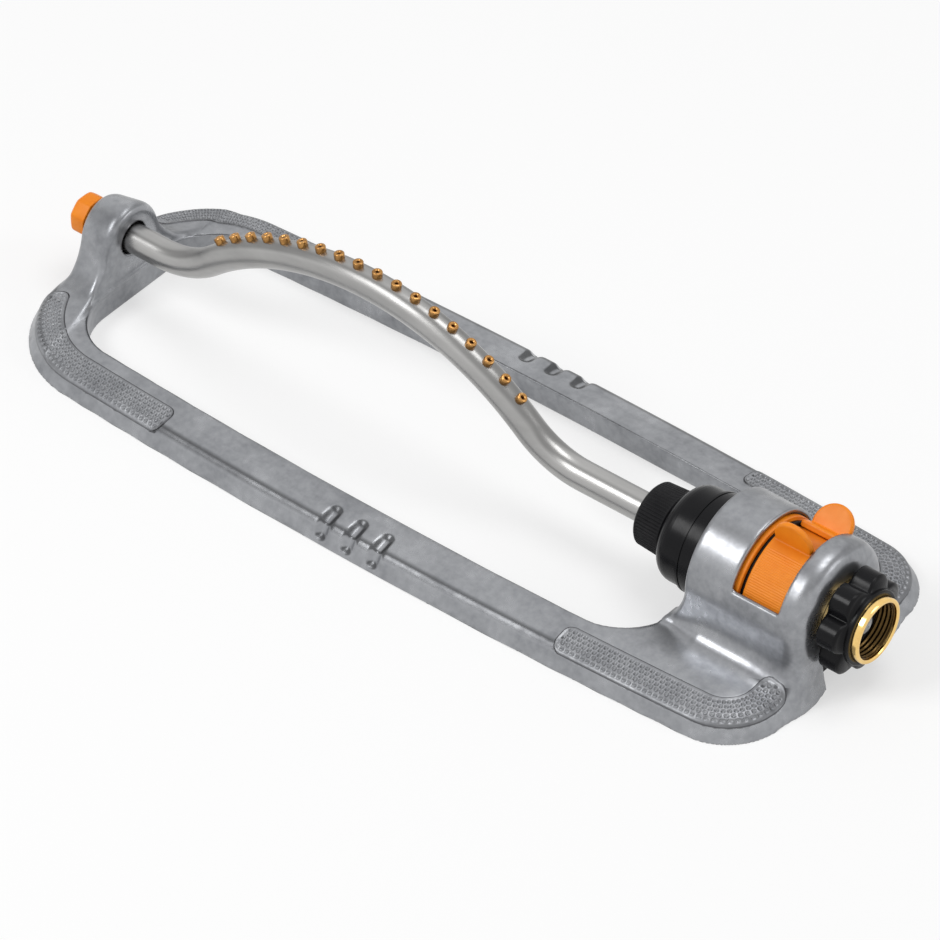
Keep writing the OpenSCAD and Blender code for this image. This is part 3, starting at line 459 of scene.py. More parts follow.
def skinOf(field, low, high, cell):
    # a quad skin over the place where the field is negative
    axes = [np.arange(low[n] - 1.5 * cell, high[n] + 2 * cell, cell) for n in range(3)]
    sizes = [len(a) for a in axes]
    values = field(axes[0][:, None, None], axes[1][None, :, None], axes[2][None, None, :])
    grid = np.broadcast_to(values, sizes)
    inside = grid < 0
    corners = [(a, b, c) for a in (0, 1) for b in (0, 1) for c in (0, 1)]

    def shifted(values, corner):
        return values[tuple(slice(corner[n], sizes[n] - 1 + corner[n]) for n in range(3))]

    count = sum(shifted(inside, corner).astype(np.uint8) for corner in corners)
    active = (count > 0) & (count < 8)
    index = np.full(active.shape, -1, np.int32)
    index[active] = np.arange(active.sum())
    cells = np.argwhere(active)
    values = np.array([grid[tuple((cells + corner).T)] for corner in corners])
    total, hits = np.zeros((len(cells), 3)), np.zeros(len(cells))
    for a in range(8):
        for b in range(a + 1, 8):
            step = np.subtract(corners[b], corners[a])
            if np.abs(step).sum() != 1:
                continue
            crossed = (values[a] < 0) != (values[b] < 0)
            t = values[a] / np.where(crossed, values[a] - values[b], 1)
            total += np.where(crossed[:, None], np.array(corners[a]) + t[:, None] * step, 0)
            hits += crossed
    start = np.array([a[0] for a in axes])
    points = start + (cells + total / hits[:, None]) * cell
    quads = []
    for n in range(3):
        one, two = (n + 1) % 3, (n + 2) % 3
        ahead = [slice(None)] * 3
        ahead[n] = slice(1, None)
        behind = [slice(None)] * 3
        behind[n] = slice(None, -1)
        change = inside[tuple(behind)] != inside[tuple(ahead)]
        place = np.argwhere(change)
        place = place[(place[:, one] > 0) & (place[:, two] > 0)
                      & (place[:, one] < sizes[one] - 1) & (place[:, two] < sizes[two] - 1)]
        ring = []
        for da, db in ((1, 1), (0, 1), (0, 0), (1, 0)):
            near = place.copy()
            near[:, one] -= da
            near[:, two] -= db
            ring.append(index[tuple(near.T)])
        ring = np.array(ring).T
        outward = inside[tuple(place.T)]
        quads.append(np.where(outward[:, None], ring, ring[:, ::-1]))
    return settle(field, points, cell * 0.6), np.concatenate(quads)


def roundOff(profile, radius, steps=3, closed=True):
    # rounds the corners of a profile; radius may be one number or one for each corner
    points, out = [np.array(p, float) for p in profile], []
    for n, p in enumerate(points):
        r = radius[n] if isinstance(radius, (list, tuple)) else radius
        if r <= 0 or (not closed and n in (0, len(points) - 1)):
            out.append(p)
            continue
        before, after = points[n - 1] - p, points[(n + 1) % len(points)] - p
        la, lb = np.linalg.norm(before), np.linalg.norm(after)
        cut = min(r, 0.45 * la, 0.45 * lb)
        a, b = p + before / la * cut, p + after / lb * cut
        for k in range(steps + 1):
            t = k / steps
            out.append(a * (1 - t) ** 2 + 2 * p * t * (1 - t) + b * t * t)
    return out


def turned(profile, sides, shape=None, closed=True):
    # turns a profile of (x, radius) about the sweep line; shape may move a radius by angle
    profile = np.array(profile, float)
    angle = np.linspace(0, 2 * math.pi, sides, endpoint=False)
    x = np.repeat(profile[:, 0][:, None], sides, 1)
    r = np.repeat(profile[:, 1][:, None], sides, 1)
    if shape:
        x, r = shape(x, r, angle[None, :])
    points = np.stack([x, r * np.sin(angle), axisHeight + r * np.cos(angle)], -1).reshape(-1, 3)
    count = len(profile)
    faces = []
    for n in range(count if closed else count - 1):
        m = (n + 1) % count
        for k in range(sides):
            j = (k + 1) % sides
            faces.append((n * sides + k, n * sides + j, m * sides + j, m * sides + k))
    return points, np.array(faces)


def joined(parts):
    points, faces, start = [], [], 0
    for p, f in parts:
        points.append(p)
        faces.append(np.asarray(f) + start)
        start += len(p)
    return np.concatenate(points), np.concatenate(faces)


# the casting

casting = dict(
    left=-239.0, right=224.0,  # ends on the ground
    halfWidth=84.8, bow=8.0, bowShift=15.0, endRadius=900.0,
    leftCorner=58.5, rightCorner=33.0,
    drawBack=4.2, drawBackFrom=33.0, drawBackRun=17.0, drawBackMost=1.3, drawBackEdge=1.5,
    rail=26.3, edgeInset=6.0, edgeHeight=10.2, deckHeight=13.1, wall=2.6,
    shoulder=3.4, innerEdge=1.8, deckEdge=0.8, footEdge=0.5,  # how softly the edges turn over
    openLeft=-206.2, openRight=145.8, openLeftCorner=29.0, openRightCorner=31.0,
    openEdge=1.0, openSpread=0.6, openSpreadFrom=12.5,
    ribPitch=58.0, ribWidth=2.0, ribFoot=2.0, ribsLeft=-3, ribsRight=1,
    notchMiddle=-5.3, notchPitch=15.6, notchRadius=3.7, notchEdge=1.6,
    notchPath=((-13.0, 13.2), (-5.0, 11.2), (-1.6, 6.4)),  # from the outline, and height
    towerOut=-228.6, towerIn=-206.6, towerOutRadius=14.8, towerInRadius=18.5, towerFoot=38.0,
    towerLift=1.0, towerOutEdge=5.0, towerInEdge=(2.0, 6.0), towerInEdgeAt=(16.0, 30.0),
    towerInset=8.0, towerInsetEdge=2.0, towerBlend=(8.0, 7.0), towerBlendAt=(-234.0, -222.0),
    towerCoreHalf=16.0, towerCoreEnd=-204.0,
    boreRadius=8.7, boreOutRadius=9.4, boreStep=-211.0, boreEnd=-200.0,
    domeStart=154.1, domeEnd=219.4, domeRadius=33.5, domeEdge=9.0, domeStartEdge=2.4,
    domeFoot=(6.0, 14.0), domeFootAt=(150.0, 166.0), domeCore=4.0,
    flare=9.0, flareFrom=34.0, flareRun=21.0, flareCurve=1.7,
    bayRadius=31.0, bayStart=158.1, bayEnd=216.2, bayEdge=9.0,
    saddleRadius=25.9, saddleStart=140.8, saddleEnd=159.1,
    inletRadius=14.2, inletDepth=6.0,
    windowMiddle=192.4, windowWidth=26.0, windowSill=47.0, windowEdge=1.6, windowReach=46.0,
    cell=1.0,
)
c = casting
middle = (c["left"] + c["right"]) / 2
length = c["right"] - c["left"]
sideRadius = (length ** 2 / 4 + c["bow"] ** 2) / (2 * c["bow"])
sideCentre = np.array([middle + c["bowShift"], c["halfWidth"] - sideRadius])
leftCentre = np.array([c["left"] + c["endRadius"], 0.0])
rightCentre = np.array([c["right"] - c["endRadius"], 0.0])


def meet(one, radiusOne, two, radiusTwo, side):
    gap = two - one
    d = np.linalg.norm(gap)
    a = (radiusOne ** 2 - radiusTwo ** 2 + d * d) / (2 * d)
    h = math.sqrt(radiusOne ** 2 - a * a)
    u = gap / d
    return one + a * u + side * h * np.array([-u[1], u[0]])


def cornerCentre(radius, endCentre, side):
    return meet(sideCentre, sideRadius - radius, endCentre, c["endRadius"] - radius, side)


rightCorner = cornerCentre(c["rightCorner"], rightCentre, -1)
leftCorner = cornerCentre(c["leftCorner"], leftCentre, 1)
innerRadius = sideRadius - c["rail"]


def openingCorner(x, radius):
    drop = math.sqrt((innerRadius - radius) ** 2 - (x - sideCentre[0]) ** 2)
    return np.array([x, sideCentre[1] + drop])


openRightCentre = openingCorner(c["openRight"] - c["openRightCorner"], c["openRightCorner"])
openLeftCentre = openingCorner(c["openLeft"] + c["openLeftCorner"], c["openLeftCorner"])


def arcGap(x, s, centre, radius):
    return np.hypot(x - centre[0], s - centre[1]) - radius


def inWedge(x, s, centre, first, last):
    # between two directions, first to last turning left
    px, ps = x - centre[0], s - centre[1]
    return (first[0] * ps - first[1] * px >= 0) & (px * last[1] - ps * last[0] >= 0)


def outlineGap(x, s):
    ends = np.maximum(arcGap(x, s, rightCentre, c["endRadius"]), arcGap(x, s, leftCentre, c["endRadius"]))
    gap = np.maximum(arcGap(x, s, sideCentre, sideRadius), ends)
    right = inWedge(x, s, rightCorner, rightCorner - rightCentre, rightCorner - sideCentre)
    gap = np.where(right, arcGap(x, s, rightCorner, c["rightCorner"]), gap)
    left = inWedge(x, s, leftCorner, leftCorner - sideCentre, leftCorner - leftCentre)
    gap = np.where(left, arcGap(x, s, leftCorner, c["leftCorner"]), gap)
    # the end draws back towards the inlet
    nearer = np.clip((c["drawBackFrom"] - s) / c["drawBackRun"], 0, c["drawBackMost"])
    return smoothMax(gap, x - c["right"] + c["drawBack"] * nearer ** 2, c["drawBackEdge"])


def openingGap(x, s):
    gap = np.maximum(arcGap(x, s, sideCentre, innerRadius),
                     np.maximum(x - c["openRight"], c["openLeft"] - x) + 0 * s)
    right = inWedge(x, s, openRightCentre, (1, 0), openRightCentre - sideCentre)
    gap = np.where(right, arcGap(x, s, openRightCentre, c["openRightCorner"]), gap)
    left = inWedge(x, s, openLeftCentre, openLeftCentre - sideCentre, (-1, 0))
    return np.where(left, arcGap(x, s, openLeftCentre, c["openLeftCorner"]), gap)


wallNorm = math.hypot(c["edgeHeight"], c["edgeInset"])
rise, run = c["deckHeight"] - c["edgeHeight"], c["rail"] - c["edgeInset"]
topNorm = math.hypot(rise, run)


def archField(y, up, radius):
    # round above the sweep line, straight down below it
    return np.hypot(y, np.maximum(up, 0)) - radius


def capsule(x, u, z, a, b, radius):
    dx, dz = b[0] - a[0], b[1] - a[1]
    t = np.clip(((u - a[0]) * dx + (z - a[1]) * dz) / (dx * dx + dz * dz), 0, 1)
    return np.sqrt(x * x + (u - a[0] - t * dx) ** 2 + (z - a[1] - t * dz) ** 2) - radius


def railField(out, hole, z):
    wallFace = (out * c["edgeHeight"] + z * c["edgeInset"]) / wallNorm
    top = ((out + c["edgeInset"]) * rise + (z - c["edgeHeight"]) * run) / topNorm
    top = smoothMax(top, z - c["deckHeight"] + 0 * top, c["deckEdge"])
    return smoothMax(smoothMax(wallFace, top, c["shoulder"]), -hole, c["innerEdge"]), wallFace, top


def outerField(x, y, z, padPocket=0.0):
    # the outside of the casting, open below
    s, up = np.abs(y), z - axisHeight
    out, hole = outlineGap(x, s), openingGap(x, s)
    rail, wallFace, top = railField(out, hole, z)
    body = rail
    if padPocket:
        body = np.maximum(body, -np.maximum(-(body + padPocket), padRegion(x, s, out)))
    share = np.clip((x - c["towerOut"]) / (c["towerIn"] - c["towerOut"]), 0, 1)
    radius = c["towerOutRadius"] + share * (c["towerInRadius"] - c["towerOutRadius"])
    tower = smoothMin(archField(s, up, radius), top + c["towerLift"], c["towerFoot"])
    tower = smoothMax(tower, x - c["towerIn"], np.interp(z, c["towerInEdgeAt"], c["towerInEdge"]))
    tower = smoothMax(tower, c["towerOut"] - x, c["towerOutEdge"])
    tower = smoothMax(tower, out + c["towerInset"], c["towerInsetEdge"])
    body = smoothMin(body, tower, np.interp(x, c["towerBlendAt"], c["towerBlend"]))
    dome = smoothMax(archField(s, up, c["domeRadius"]), x - c["domeEnd"], c["domeEdge"])
    flare = c["flare"] * np.clip((c["flareFrom"] - z) / c["flareRun"], 0, 1) ** c["flareCurve"]
    dome = smoothMax(dome, c["domeStart"] - flare - x, c["domeStartEdge"])
    foot = np.interp(x, c["domeFootAt"], c["domeFoot"])
    body = smoothMin(body, dome, foot)
    path = c["notchPath"]
    near = np.clip(np.round((x - c["notchMiddle"]) / c["notchPitch"]), -1, 1)
    dx = x - c["notchMiddle"] - near * c["notchPitch"]
    notch = np.minimum(capsule(dx, out, z, path[0], path[1], c["notchRadius"]),
                       capsule(dx, out, z, path[1], path[2], c["notchRadius"]))
    return smoothMax(body, -notch, c["notchEdge"]), np.maximum(rail, -notch)


def castingField(x, y, z):
    s, up = np.abs(y), z - axisHeight
    body, rail = outerField(x, y, z, grip["pocket"])
    hollow = rail + c["wall"]
    core = np.maximum(s - c["towerCoreHalf"], x - c["towerCoreEnd"])
    hollow = np.maximum(hollow, -core)
    core = np.maximum(s - c["domeRadius"] - c["domeCore"], c["domeStart"] - c["flare"] - x)
    hollow = np.maximum(hollow, -core)
    row = (x - middle) / c["ribPitch"]
    ribs = np.abs(row - np.clip(np.round(row), c["ribsLeft"], c["ribsRight"]))
    ribs = np.maximum(ribs * c["ribPitch"] - c["ribWidth"] / 2, c["ribFoot"] - z)
    hollow = np.maximum(hollow, -ribs)
    saddle = np.maximum(c["saddleStart"] - x, x - c["saddleEnd"])
    saddle = np.maximum(archField(s, up, c["saddleRadius"]), saddle)
    bay = np.maximum(archField(s, up, c["bayRadius"]), c["bayStart"] - x)
    bay = smoothMax(bay, x - c["bayEnd"], c["bayEdge"])
    inlet = np.maximum(archField(s, up, c["inletRadius"]), c["bayEnd"] - c["inletDepth"] - x)
    bushRadius = np.where(x > c["boreStep"], c["boreRadius"], c["boreOutRadius"])
    bushBore = np.maximum(np.hypot(y, up) - bushRadius, x - c["boreEnd"])
    window = np.abs(x - c["windowMiddle"]) - c["windowWidth"] / 2 + 0 * z
    window = smoothMax(window, c["windowSill"] - z, c["windowEdge"])
    window = np.maximum(window, s - c["windowReach"])
    opened = np.minimum(np.minimum(saddle, bay), np.minimum(inlet, bushBore))
    body = smoothMax(body, -opened, c["openEdge"])
    body = smoothMax(body, -window, c["windowEdge"])
    body = smoothMax(np.maximum(body, -hollow), -z, c["footEdge"])
    spread = c["openSpread"] * np.maximum(z - c["openSpreadFrom"], 0)
    return smoothMax(body, -openingGap(x, s) - spread, c["openEdge"])


# dimpled grips on the four corners

grip = dict(
    pocket=0.7,  # how far the casting is let in under a grip
    pocketEdge=1.2, pocketEnd=2.5,
    step=0.34, pitch=2.9, rowPitch=2.6, dimple=0.92, depth=0.85, flatFloor=1.2,
    margin=2.2, lastMargin=3.8, plainEdge=1.9, plainRun=0.5,  # round the field of dimples
    rimHeight=0.3, rimWidth=0.5, rimInset=0.9, level=0.14, cornerRadius=5.0,
    skirt=1.6, skirtFrom=-0.35, skirtRun=0.7, overhang=0.6,  # how the edge goes down into the pocket
    above=14.0, drops=60,  # where its points start, and how often they move down
    left=dict(inset=(3.4, 18.6), side=-124.0, end=34.5),
    right=dict(inset=(3.8, 19.4), side=112.5, end=36.5),
)


def padRegion(x, s, out):
    left, right = grip["left"], grip["right"]
    edge, end = grip["pocketEdge"], grip["pocketEnd"]
    one = np.maximum(out + left["inset"][0] + edge, -out - left["inset"][1] + edge)
    one = np.maximum(one, np.maximum(x - left["side"] + end, left["end"] + end - s))
    two = np.maximum(out + right["inset"][0] + edge, -out - right["inset"][1] + edge)
    two = np.maximum(two, np.maximum(right["side"] + end - x, right["end"] + end - s))
    return np.minimum(one, two)


def heading(v):
    return math.atan2(v[1], v[0])


def gripPath(which):
    # centres, radii and angles along one corner, as seen at the middle of the grip
    g = grip[which]
    deep = sum(g["inset"]) / 2
    sideEnd = math.acos((g["side"] - sideCentre[0]) / (sideRadius - deep))
    if which == "left":
        bend = heading(leftCorner - sideCentre)
        start = math.pi - math.asin((g["end"] - leftCorner[1]) / (c["leftCorner"] - deep))
        spans = [(leftCorner, c["leftCorner"], start, bend), (sideCentre, sideRadius, bend, sideEnd)]
    else:
        bend, back = heading(rightCorner - sideCentre), heading(rightCorner - rightCentre)
        last = math.asin(g["end"] / (c["endRadius"] - deep))
        spans = [(sideCentre, sideRadius, sideEnd, bend), (rightCorner, c["rightCorner"], bend, back),
                 (rightCentre, c["endRadius"], back, last)]
    places, lengths, along = [], [], 0.0
    for centre, radius, a0, a1 in spans:
        run = abs(a1 - a0) * (radius - deep)
        count = max(2, int(run / grip["step"]))
        for k in range(count):
            t = k / count
            places.append((*centre, radius, a0 + (a1 - a0) * t))
            lengths.append(along + run * t)
        along += run
    places.append((*spans[-1][0], spans[-1][1], spans[-1][3]))
    lengths.append(along)
    return np.array(places), np.array(lengths)


def addGrip(which, side):
    g = grip[which]
    places, along = gripPath(which)
    low, high = g["inset"]
    across = np.linspace(low, high, int((high - low) / grip["step"]) + 1)
    reach = places[:, 2][:, None] - across[None, :]
    x = places[:, 0][:, None] + reach * np.cos(places[:, 3])[:, None]
    s = places[:, 1][:, None] + reach * np.sin(places[:, 3])[:, None]
    z = np.full_like(x, grip["above"])
    p = np.stack([x, s, z], -1).reshape(-1, 3)

    def outer(px, py, pz):
        return outerField(px, py, pz)[0]

    for _ in range(grip["drops"]):  # straight down onto the top first
        gap = outer(*p.T)
        p[:, 2] -= np.clip(gap * 0.5, -1, 1)
    p = settle(outer, p, 0.4, 2)
    normal = slopeOf(outer, p)
    normal /= np.linalg.norm(normal, axis=1)[:, None]
    a, t = np.meshgrid(along, across, indexing="ij")
    total, width, r = along[-1], high - low, grip["cornerRadius"]
    qx = np.abs(a - total / 2) - total / 2 + r
    qy = np.abs(t - (low + high) / 2) - width / 2 + r
    edge = np.hypot(np.maximum(qx, 0), np.maximum(qy, 0)) + np.minimum(np.maximum(qx, qy), 0) - r
    pitch, rowPitch, margin = grip["pitch"], grip["rowPitch"], grip["margin"]
    lastRow = math.floor((width - grip["lastMargin"]) / rowPitch)
    rows = np.clip(np.round((t - low - margin) / rowPitch), 0, lastRow)
    dt = t - low - margin - rows * rowPitch
    shift = (rows % 2) * pitch / 2
    da = (a - shift + pitch / 2) % pitch - pitch / 2
    d = np.hypot(da, dt) / grip["dimple"]
    inner = np.clip((-edge - grip["plainEdge"]) / grip["plainRun"], 0, 1)
    height = grip["level"] - grip["depth"] * np.clip(grip["flatFloor"] * (1 - d ** 3), 0, 1) * inner
    height += grip["rimHeight"] * np.exp(-((edge + grip["rimInset"]) / grip["rimWidth"]) ** 2)
    skirt = grip["skirt"] * np.clip((edge - grip["skirtFrom"]) / grip["skirtRun"], 0, 1)
    height = np.where(edge > grip["skirtFrom"], height - skirt, height)
    p = p + normal * height.reshape(-1, 1)
    p[:, 1] *= side
    rowsCount, columns = x.shape
    index = np.arange(rowsCount * columns).reshape(rowsCount, columns)
    quads = np.stack([index[:-1, :-1], index[:-1, 1:], index[1:, 1:], index[1:, :-1]], -1).reshape(-1, 4)
    if side > 0:
        quads = quads[:, ::-1]
    # leave out what lies outside the rounded ends
    quads = quads[(edge.reshape(-1)[quads] < grip["overhang"]).any(1)]
    name = which + ("Far" if side > 0 else "Near") + "Grip"
    return addPiece(name, p, quads, "gripMetal", "base")


low = (c["left"], -c["halfWidth"], 0)
high = (c["right"], c["halfWidth"], axisHeight + c["domeRadius"] + 0.1)
points, quads = skinOf(castingField, low, high, c["cell"])
addPiece("casting", points, quads, "castMetal", "base", "base_casting")
for which in ("left", "right"):
    for side in (-1, 1):
        addGrip(which, side)
print("the casting and its grips:", len(quads), "faces")


# the spray tube and its nozzles

tube = dict(radius=7.5, wall=1.0, start=-209.6, end=124.2, archMiddle=-59.1, archHalf=129.5,
            archHeight=48.5, bend=50.0, sides=48, nozzles=18, nozzlePitch=11.5,
            leftSteps=8, bendSteps=14, archSteps=60, rightSteps=14)
archRadius = (tube["archHalf"] ** 2 + tube["archHeight"] ** 2) / (2 * tube["archHeight"]) - tube["bend"]
archAngle = math.asin(tube["archHalf"] / (archRadius + tube["bend"]))
archCentre = axisHeight + tube["archHeight"] - archRadius


def tubePath():
    # places along the centre line: x, z and slope
    bend, bendSteps, archSteps = tube["bend"], tube["bendSteps"], tube["archSteps"]
    left = tube["archMiddle"] - tube["archHalf"]
    right = tube["archMiddle"] + tube["archHalf"]
    places = [(x, axisHeight, 0.0) for x in np.linspace(tube["start"], left, tube["leftSteps"])[:-1]]
    for k in range(bendSteps):
        a = archAngle * k / bendSteps
        places.append((left + bend * math.sin(a), axisHeight + bend * (1 - math.cos(a)), a))
    for k in range(archSteps + 1):
        a = archAngle * (1 - 2 * k / archSteps)
        x = tube["archMiddle"] - archRadius * math.sin(a)
        places.append((x, archCentre + archRadius * math.cos(a), a))
    for k in range(bendSteps - 1, -1, -1):
        a = archAngle * k / bendSteps
        places.append((right - bend * math.sin(a), axisHeight + bend * (1 - math.cos(a)), -a))
    places += [(x, axisHeight, 0.0) for x in np.linspace(right, tube["end"], tube["rightSteps"])[1:]]
    return places


def sweptTube():
    path, sides = tubePath(), tube["sides"]
    angle = np.linspace(0, 2 * math.pi, sides, endpoint=False)
    skins = []
    for radius in (tube["radius"], tube["radius"] - tube["wall"]):
        for x, z, slope in path:
            out = radius * np.sin(angle)
            px, pz = x - out * math.sin(slope), z + out * math.cos(slope)
            skins.append(np.stack([px, radius * np.cos(angle), pz], -1))
    count, faces = len(path), []
    order = list(range(count)) + list(range(2 * count - 1, count - 1, -1)) + [0]
    for one, two in zip(order[:-1], order[1:]):
        for k in range(sides):
            j = (k + 1) % sides
            faces.append((one * sides + k, two * sides + k, two * sides + j, one * sides + j))
    return np.concatenate(skins), np.array(faces)[:, ::-1]


addPiece("sprayTube", *sweptTube(), "drawnTube", "spray_arm", "spray_tube")

nozzle = dict(radius=2.6, foot=6.2, top=10.5, hole=0.75, sides=24, footHole=0.9, mouth=1.3,
              shoulder=0.6, crown=0.15, shoulderIn=0.3, crownIn=0.8, edge=0.12)


def nozzleAt(turn):
    n = nozzle
    foot, top, radius = n["foot"], n["top"], n["radius"]
    profile = [(foot, n["footHole"]), (foot, radius), (top - n["shoulder"], radius),
               (top - n["crown"], radius - n["shoulderIn"]), (top, radius - n["crownIn"]),
               (top, n["mouth"]), (top - n["shoulder"], n["hole"]), (foot + n["shoulder"], n["hole"])]
    profile = np.array(roundOff(profile, n["edge"], 2))
    angle = np.linspace(0, 2 * math.pi, n["sides"], endpoint=False)
    up = np.repeat(profile[:, 0][:, None], n["sides"], 1) + archRadius
    r = profile[:, 1][:, None]
    x, y = r * np.cos(angle), r * np.sin(angle)
    px = tube["archMiddle"] + x * math.cos(turn) + up * math.sin(turn)
    pz = archCentre - x * math.sin(turn) + up * math.cos(turn)
    count, faces = len(profile), []
    for k in range(count):
        m = (k + 1) % count
        for j in range(n["sides"]):
            i = (j + 1) % n["sides"]
            faces.append((k * n["sides"] + j, m * n["sides"] + j, m * n["sides"] + i, k * n["sides"] + i))
    return np.stack([px, y, pz], -1).reshape(-1, 3), np.array(faces)[:, ::-1]


turnStep = tube["nozzlePitch"] / (archRadius + tube["radius"])
parts = [nozzleAt((k - (tube["nozzles"] - 1) / 2) * turnStep) for k in range(tube["nozzles"])]
addPiece("jetNozzles", *joined(parts), "jetBrass", "spray_arm", "nozzles")
print("the tube and its nozzles")


# the flow knob

knob = dict(start=110.4, end=126.4, radius=16.0, wide=17.0, bore=8.0, socket=10.56, cap=1.6,
            ribs=60, ribDepth=0.5, ribRound=0.9, ribsIn=1.6, ribsInRun=0.8, ribsOut=0.9, ribsOutRun=0.6,
            ribsFrom=14.0, face=14.6, faceEdge=1.3, faceTop=15.95, backEdge=0.5, backTop=16.95, back=16.4,
            wallFrom=0.1, wallTo=0.955, wallSteps=15)


def knobRibs(x, r, angle):
    k = knob
    along = np.clip((x - k["start"] - k["ribsIn"]) / k["ribsInRun"], 0, 1)
    along = along * np.clip((k["end"] - k["ribsOut"] - x) / k["ribsOutRun"], 0, 1)
    wave = np.clip(0.5 + k["ribRound"] * np.cos(angle * k["ribs"]), 0, 1)
    return x, r - k["ribDepth"] * wave * along * (r > k["ribsFrom"])


k = knob
start, end = k["start"], k["end"]
front = [(start, k["bore"]), (start, k["face"]), (start + k["faceEdge"], k["faceTop"])]
wall = [np.array((start + t * (end - start), k["radius"] + t * (k["wide"] - k["radius"])))
        for t in np.linspace(k["wallFrom"], k["wallTo"], k["wallSteps"])]
back = [(end - k["backEdge"], k["backTop"]), (end, k["back"]), (end, k["socket"]),
        (start + k["cap"], k["socket"]), (start + k["cap"], k["bore"])]
profile = roundOff(front, (0.3, 0.8, 0), 3, closed=False) + wall
profile += roundOff(back, (0, 0.3, 0.3, 0.2, 0.2), 2, closed=False)
points, faces = turned(profile, k["ribs"] * 8, knobRibs)
addPiece("flowKnob", points, faces, "matteBlack", "knob", "flow_knob")
print("the knob")


# range stops and their carrier

stops = dict(
    middle=194.4, width=22.0, inner=26.9, outer=30.3, tabRadius=10.4, tabThick=3.0, tabRise=33.0,
    ribPitch=1.2, ribDepth=0.22, ribFade=0.04, ribInset=1.0, ribInsetRun=0.6,
    bandEdge=1.2, innerEdge=0.6, tabEdge=1.3, tabLift=0.8, lastEdge=0.4, fillet=0.7, cell=0.36,
    reach=31.0, tabReach=46.5, spare=3.0,  # the box that holds it, from the sweep line
    near=dict(lean=-8.0, start=-4.0, stop=-86.0, ribsFrom=-20.0),
    far=dict(lean=50.0, start=32.0, stop=128.0, ribsFrom=66.0),
)


def stopField(which):
    g = stops[which]
    lean = math.radians(g["lean"])
    mid, half = math.radians((g["start"] + g["stop"]) / 2), math.radians(abs(g["start"] - g["stop"]) / 2)
    ribTurn = stops["ribPitch"] / stops["outer"]
    sign = 1 if g["stop"] > g["start"] else -1

    def field(x, y, z):
        up = z - axisHeight
        r = np.hypot(y, up)
        turn = np.arctan2(y, up)
        wrapped = (turn - mid + math.pi) % (2 * math.pi) - math.pi
        ribbed = np.clip((sign * (turn - math.radians(g["ribsFrom"]))) / stops["ribFade"], 0, 1)
        aside = np.abs(x - stops["middle"]) - stops["width"] / 2
        inset = np.clip((-stops["ribInset"] - aside) / stops["ribInsetRun"], 0, 1)
        ribs = stops["ribDepth"] * (0.5 + 0.5 * np.cos(turn / ribTurn * 2 * math.pi)) * ribbed * inset
        band = smoothMax(r - stops["outer"] + ribs, aside + 0 * r, stops["bandEdge"])
        band = smoothMax(band, (np.abs(wrapped) - half) * r, stops["bandEdge"])
        band = smoothMax(band, stops["inner"] - r, stops["innerEdge"])
        across = y * math.cos(lean) - up * math.sin(lean)
        out = y * math.sin(lean) + up * math.cos(lean)
        tab = np.hypot(x - stops["middle"], out - stops["tabRise"]) - stops["tabRadius"]
        tab = smoothMax(tab, np.abs(across) - stops["tabThick"] / 2, stops["tabEdge"])
        tab = smoothMax(tab, stops["inner"] + stops["tabLift"] - r, stops["innerEdge"])
        whole = smoothMin(band, tab, stops["fillet"])
        return smoothMax(whole, stops["inner"] - r, stops["lastEdge"])

    return field


for which in ("near", "far"):
    g = stops[which]
    angles = np.radians([g["start"], g["stop"], g["lean"], (g["start"] + g["stop"]) / 2])
    reach = [stops["reach"], stops["reach"], stops["tabReach"], stops["reach"]]
    spare, halfWidth = stops["spare"], stops["width"] / 2 + 0.4
    ys = [r * math.sin(a) for r, a in zip(reach, angles)]
    ys += [stops["tabReach"] * math.sin(angles[2]) + d for d in (-spare, spare)]
    zs = [axisHeight + r * math.cos(a) for r, a in zip(reach, angles)]
    low = (stops["middle"] - halfWidth, min(ys) - spare, min(zs) - spare)
    high = (stops["middle"] + halfWidth, max(ys) + spare, max(max(zs), axisHeight + stops["reach"]) + 2)
    points, quads = skinOf(stopField(which), low, high, stops["cell"])
    addPiece(which + "Stop", points, quads, "orangePlastic", which + "_slider", which + "_stop")

carrier = dict(start=177.8, end=206.2, drum=26.5, bore=23.7, flange=30.5, flangeWidth=3.6,
               groove=0.4, drumStart=183.5, bandStart=181.4, bandEnd=183.3, band=28.6, bandBore=25.9)
k = carrier
flangeEnd, groove = k["start"] + k["flangeWidth"], k["drum"] - k["groove"]
profile = [(k["start"], k["bore"]), (k["start"], k["flange"]), (flangeEnd, k["flange"]),
           (flangeEnd, groove), (k["drumStart"], groove), (k["drumStart"], k["drum"]),
           (k["end"], k["drum"]), (k["end"], k["bore"])]
profile = roundOff(profile, (0, 0.5, 0.5, 0, 0, 0, 0.3, 0), 3)
addPiece("stopCarrier", *turned(profile, 128), "orangePlastic", "base", "stop_carrier")
# a matte black ring set in the groove between the flange and the stops, a dark piece standing in for the
# shade of that deep gap
profile = [(k["bandStart"], k["bandBore"]), (k["bandStart"], k["band"]),
           (k["bandEnd"], k["band"]), (k["bandEnd"], k["bandBore"])]
addPiece("carrierBand", *turned(profile, 96), "matteBlack", "base")
print("the range stops")


# the clean-out plug

plug = dict(face=-240.0, thick=9.5, corner=11.2, sides=8, chamfer=1.7, stem=5.3, tip=-218.5,
            cornerCut=0.35, cornerBlend=0.8, flatsFrom=7.0, flatsRun=2.0)


def plugShape(x, r, angle):
    # eight flats with softened corners
    part = 2 * math.pi / plug["sides"]
    local = (angle + part / 2) % part - part / 2
    flat = plug["corner"] * math.cos(part / 2) / np.cos(local)
    octagon = smoothMin(flat, plug["corner"] - plug["cornerCut"] + 0 * flat, plug["cornerBlend"])
    big = np.clip((r - plug["flatsFrom"]) / plug["flatsRun"], 0, 1)
    return x, r * (1 - big) + r * octagon / plug["corner"] * big


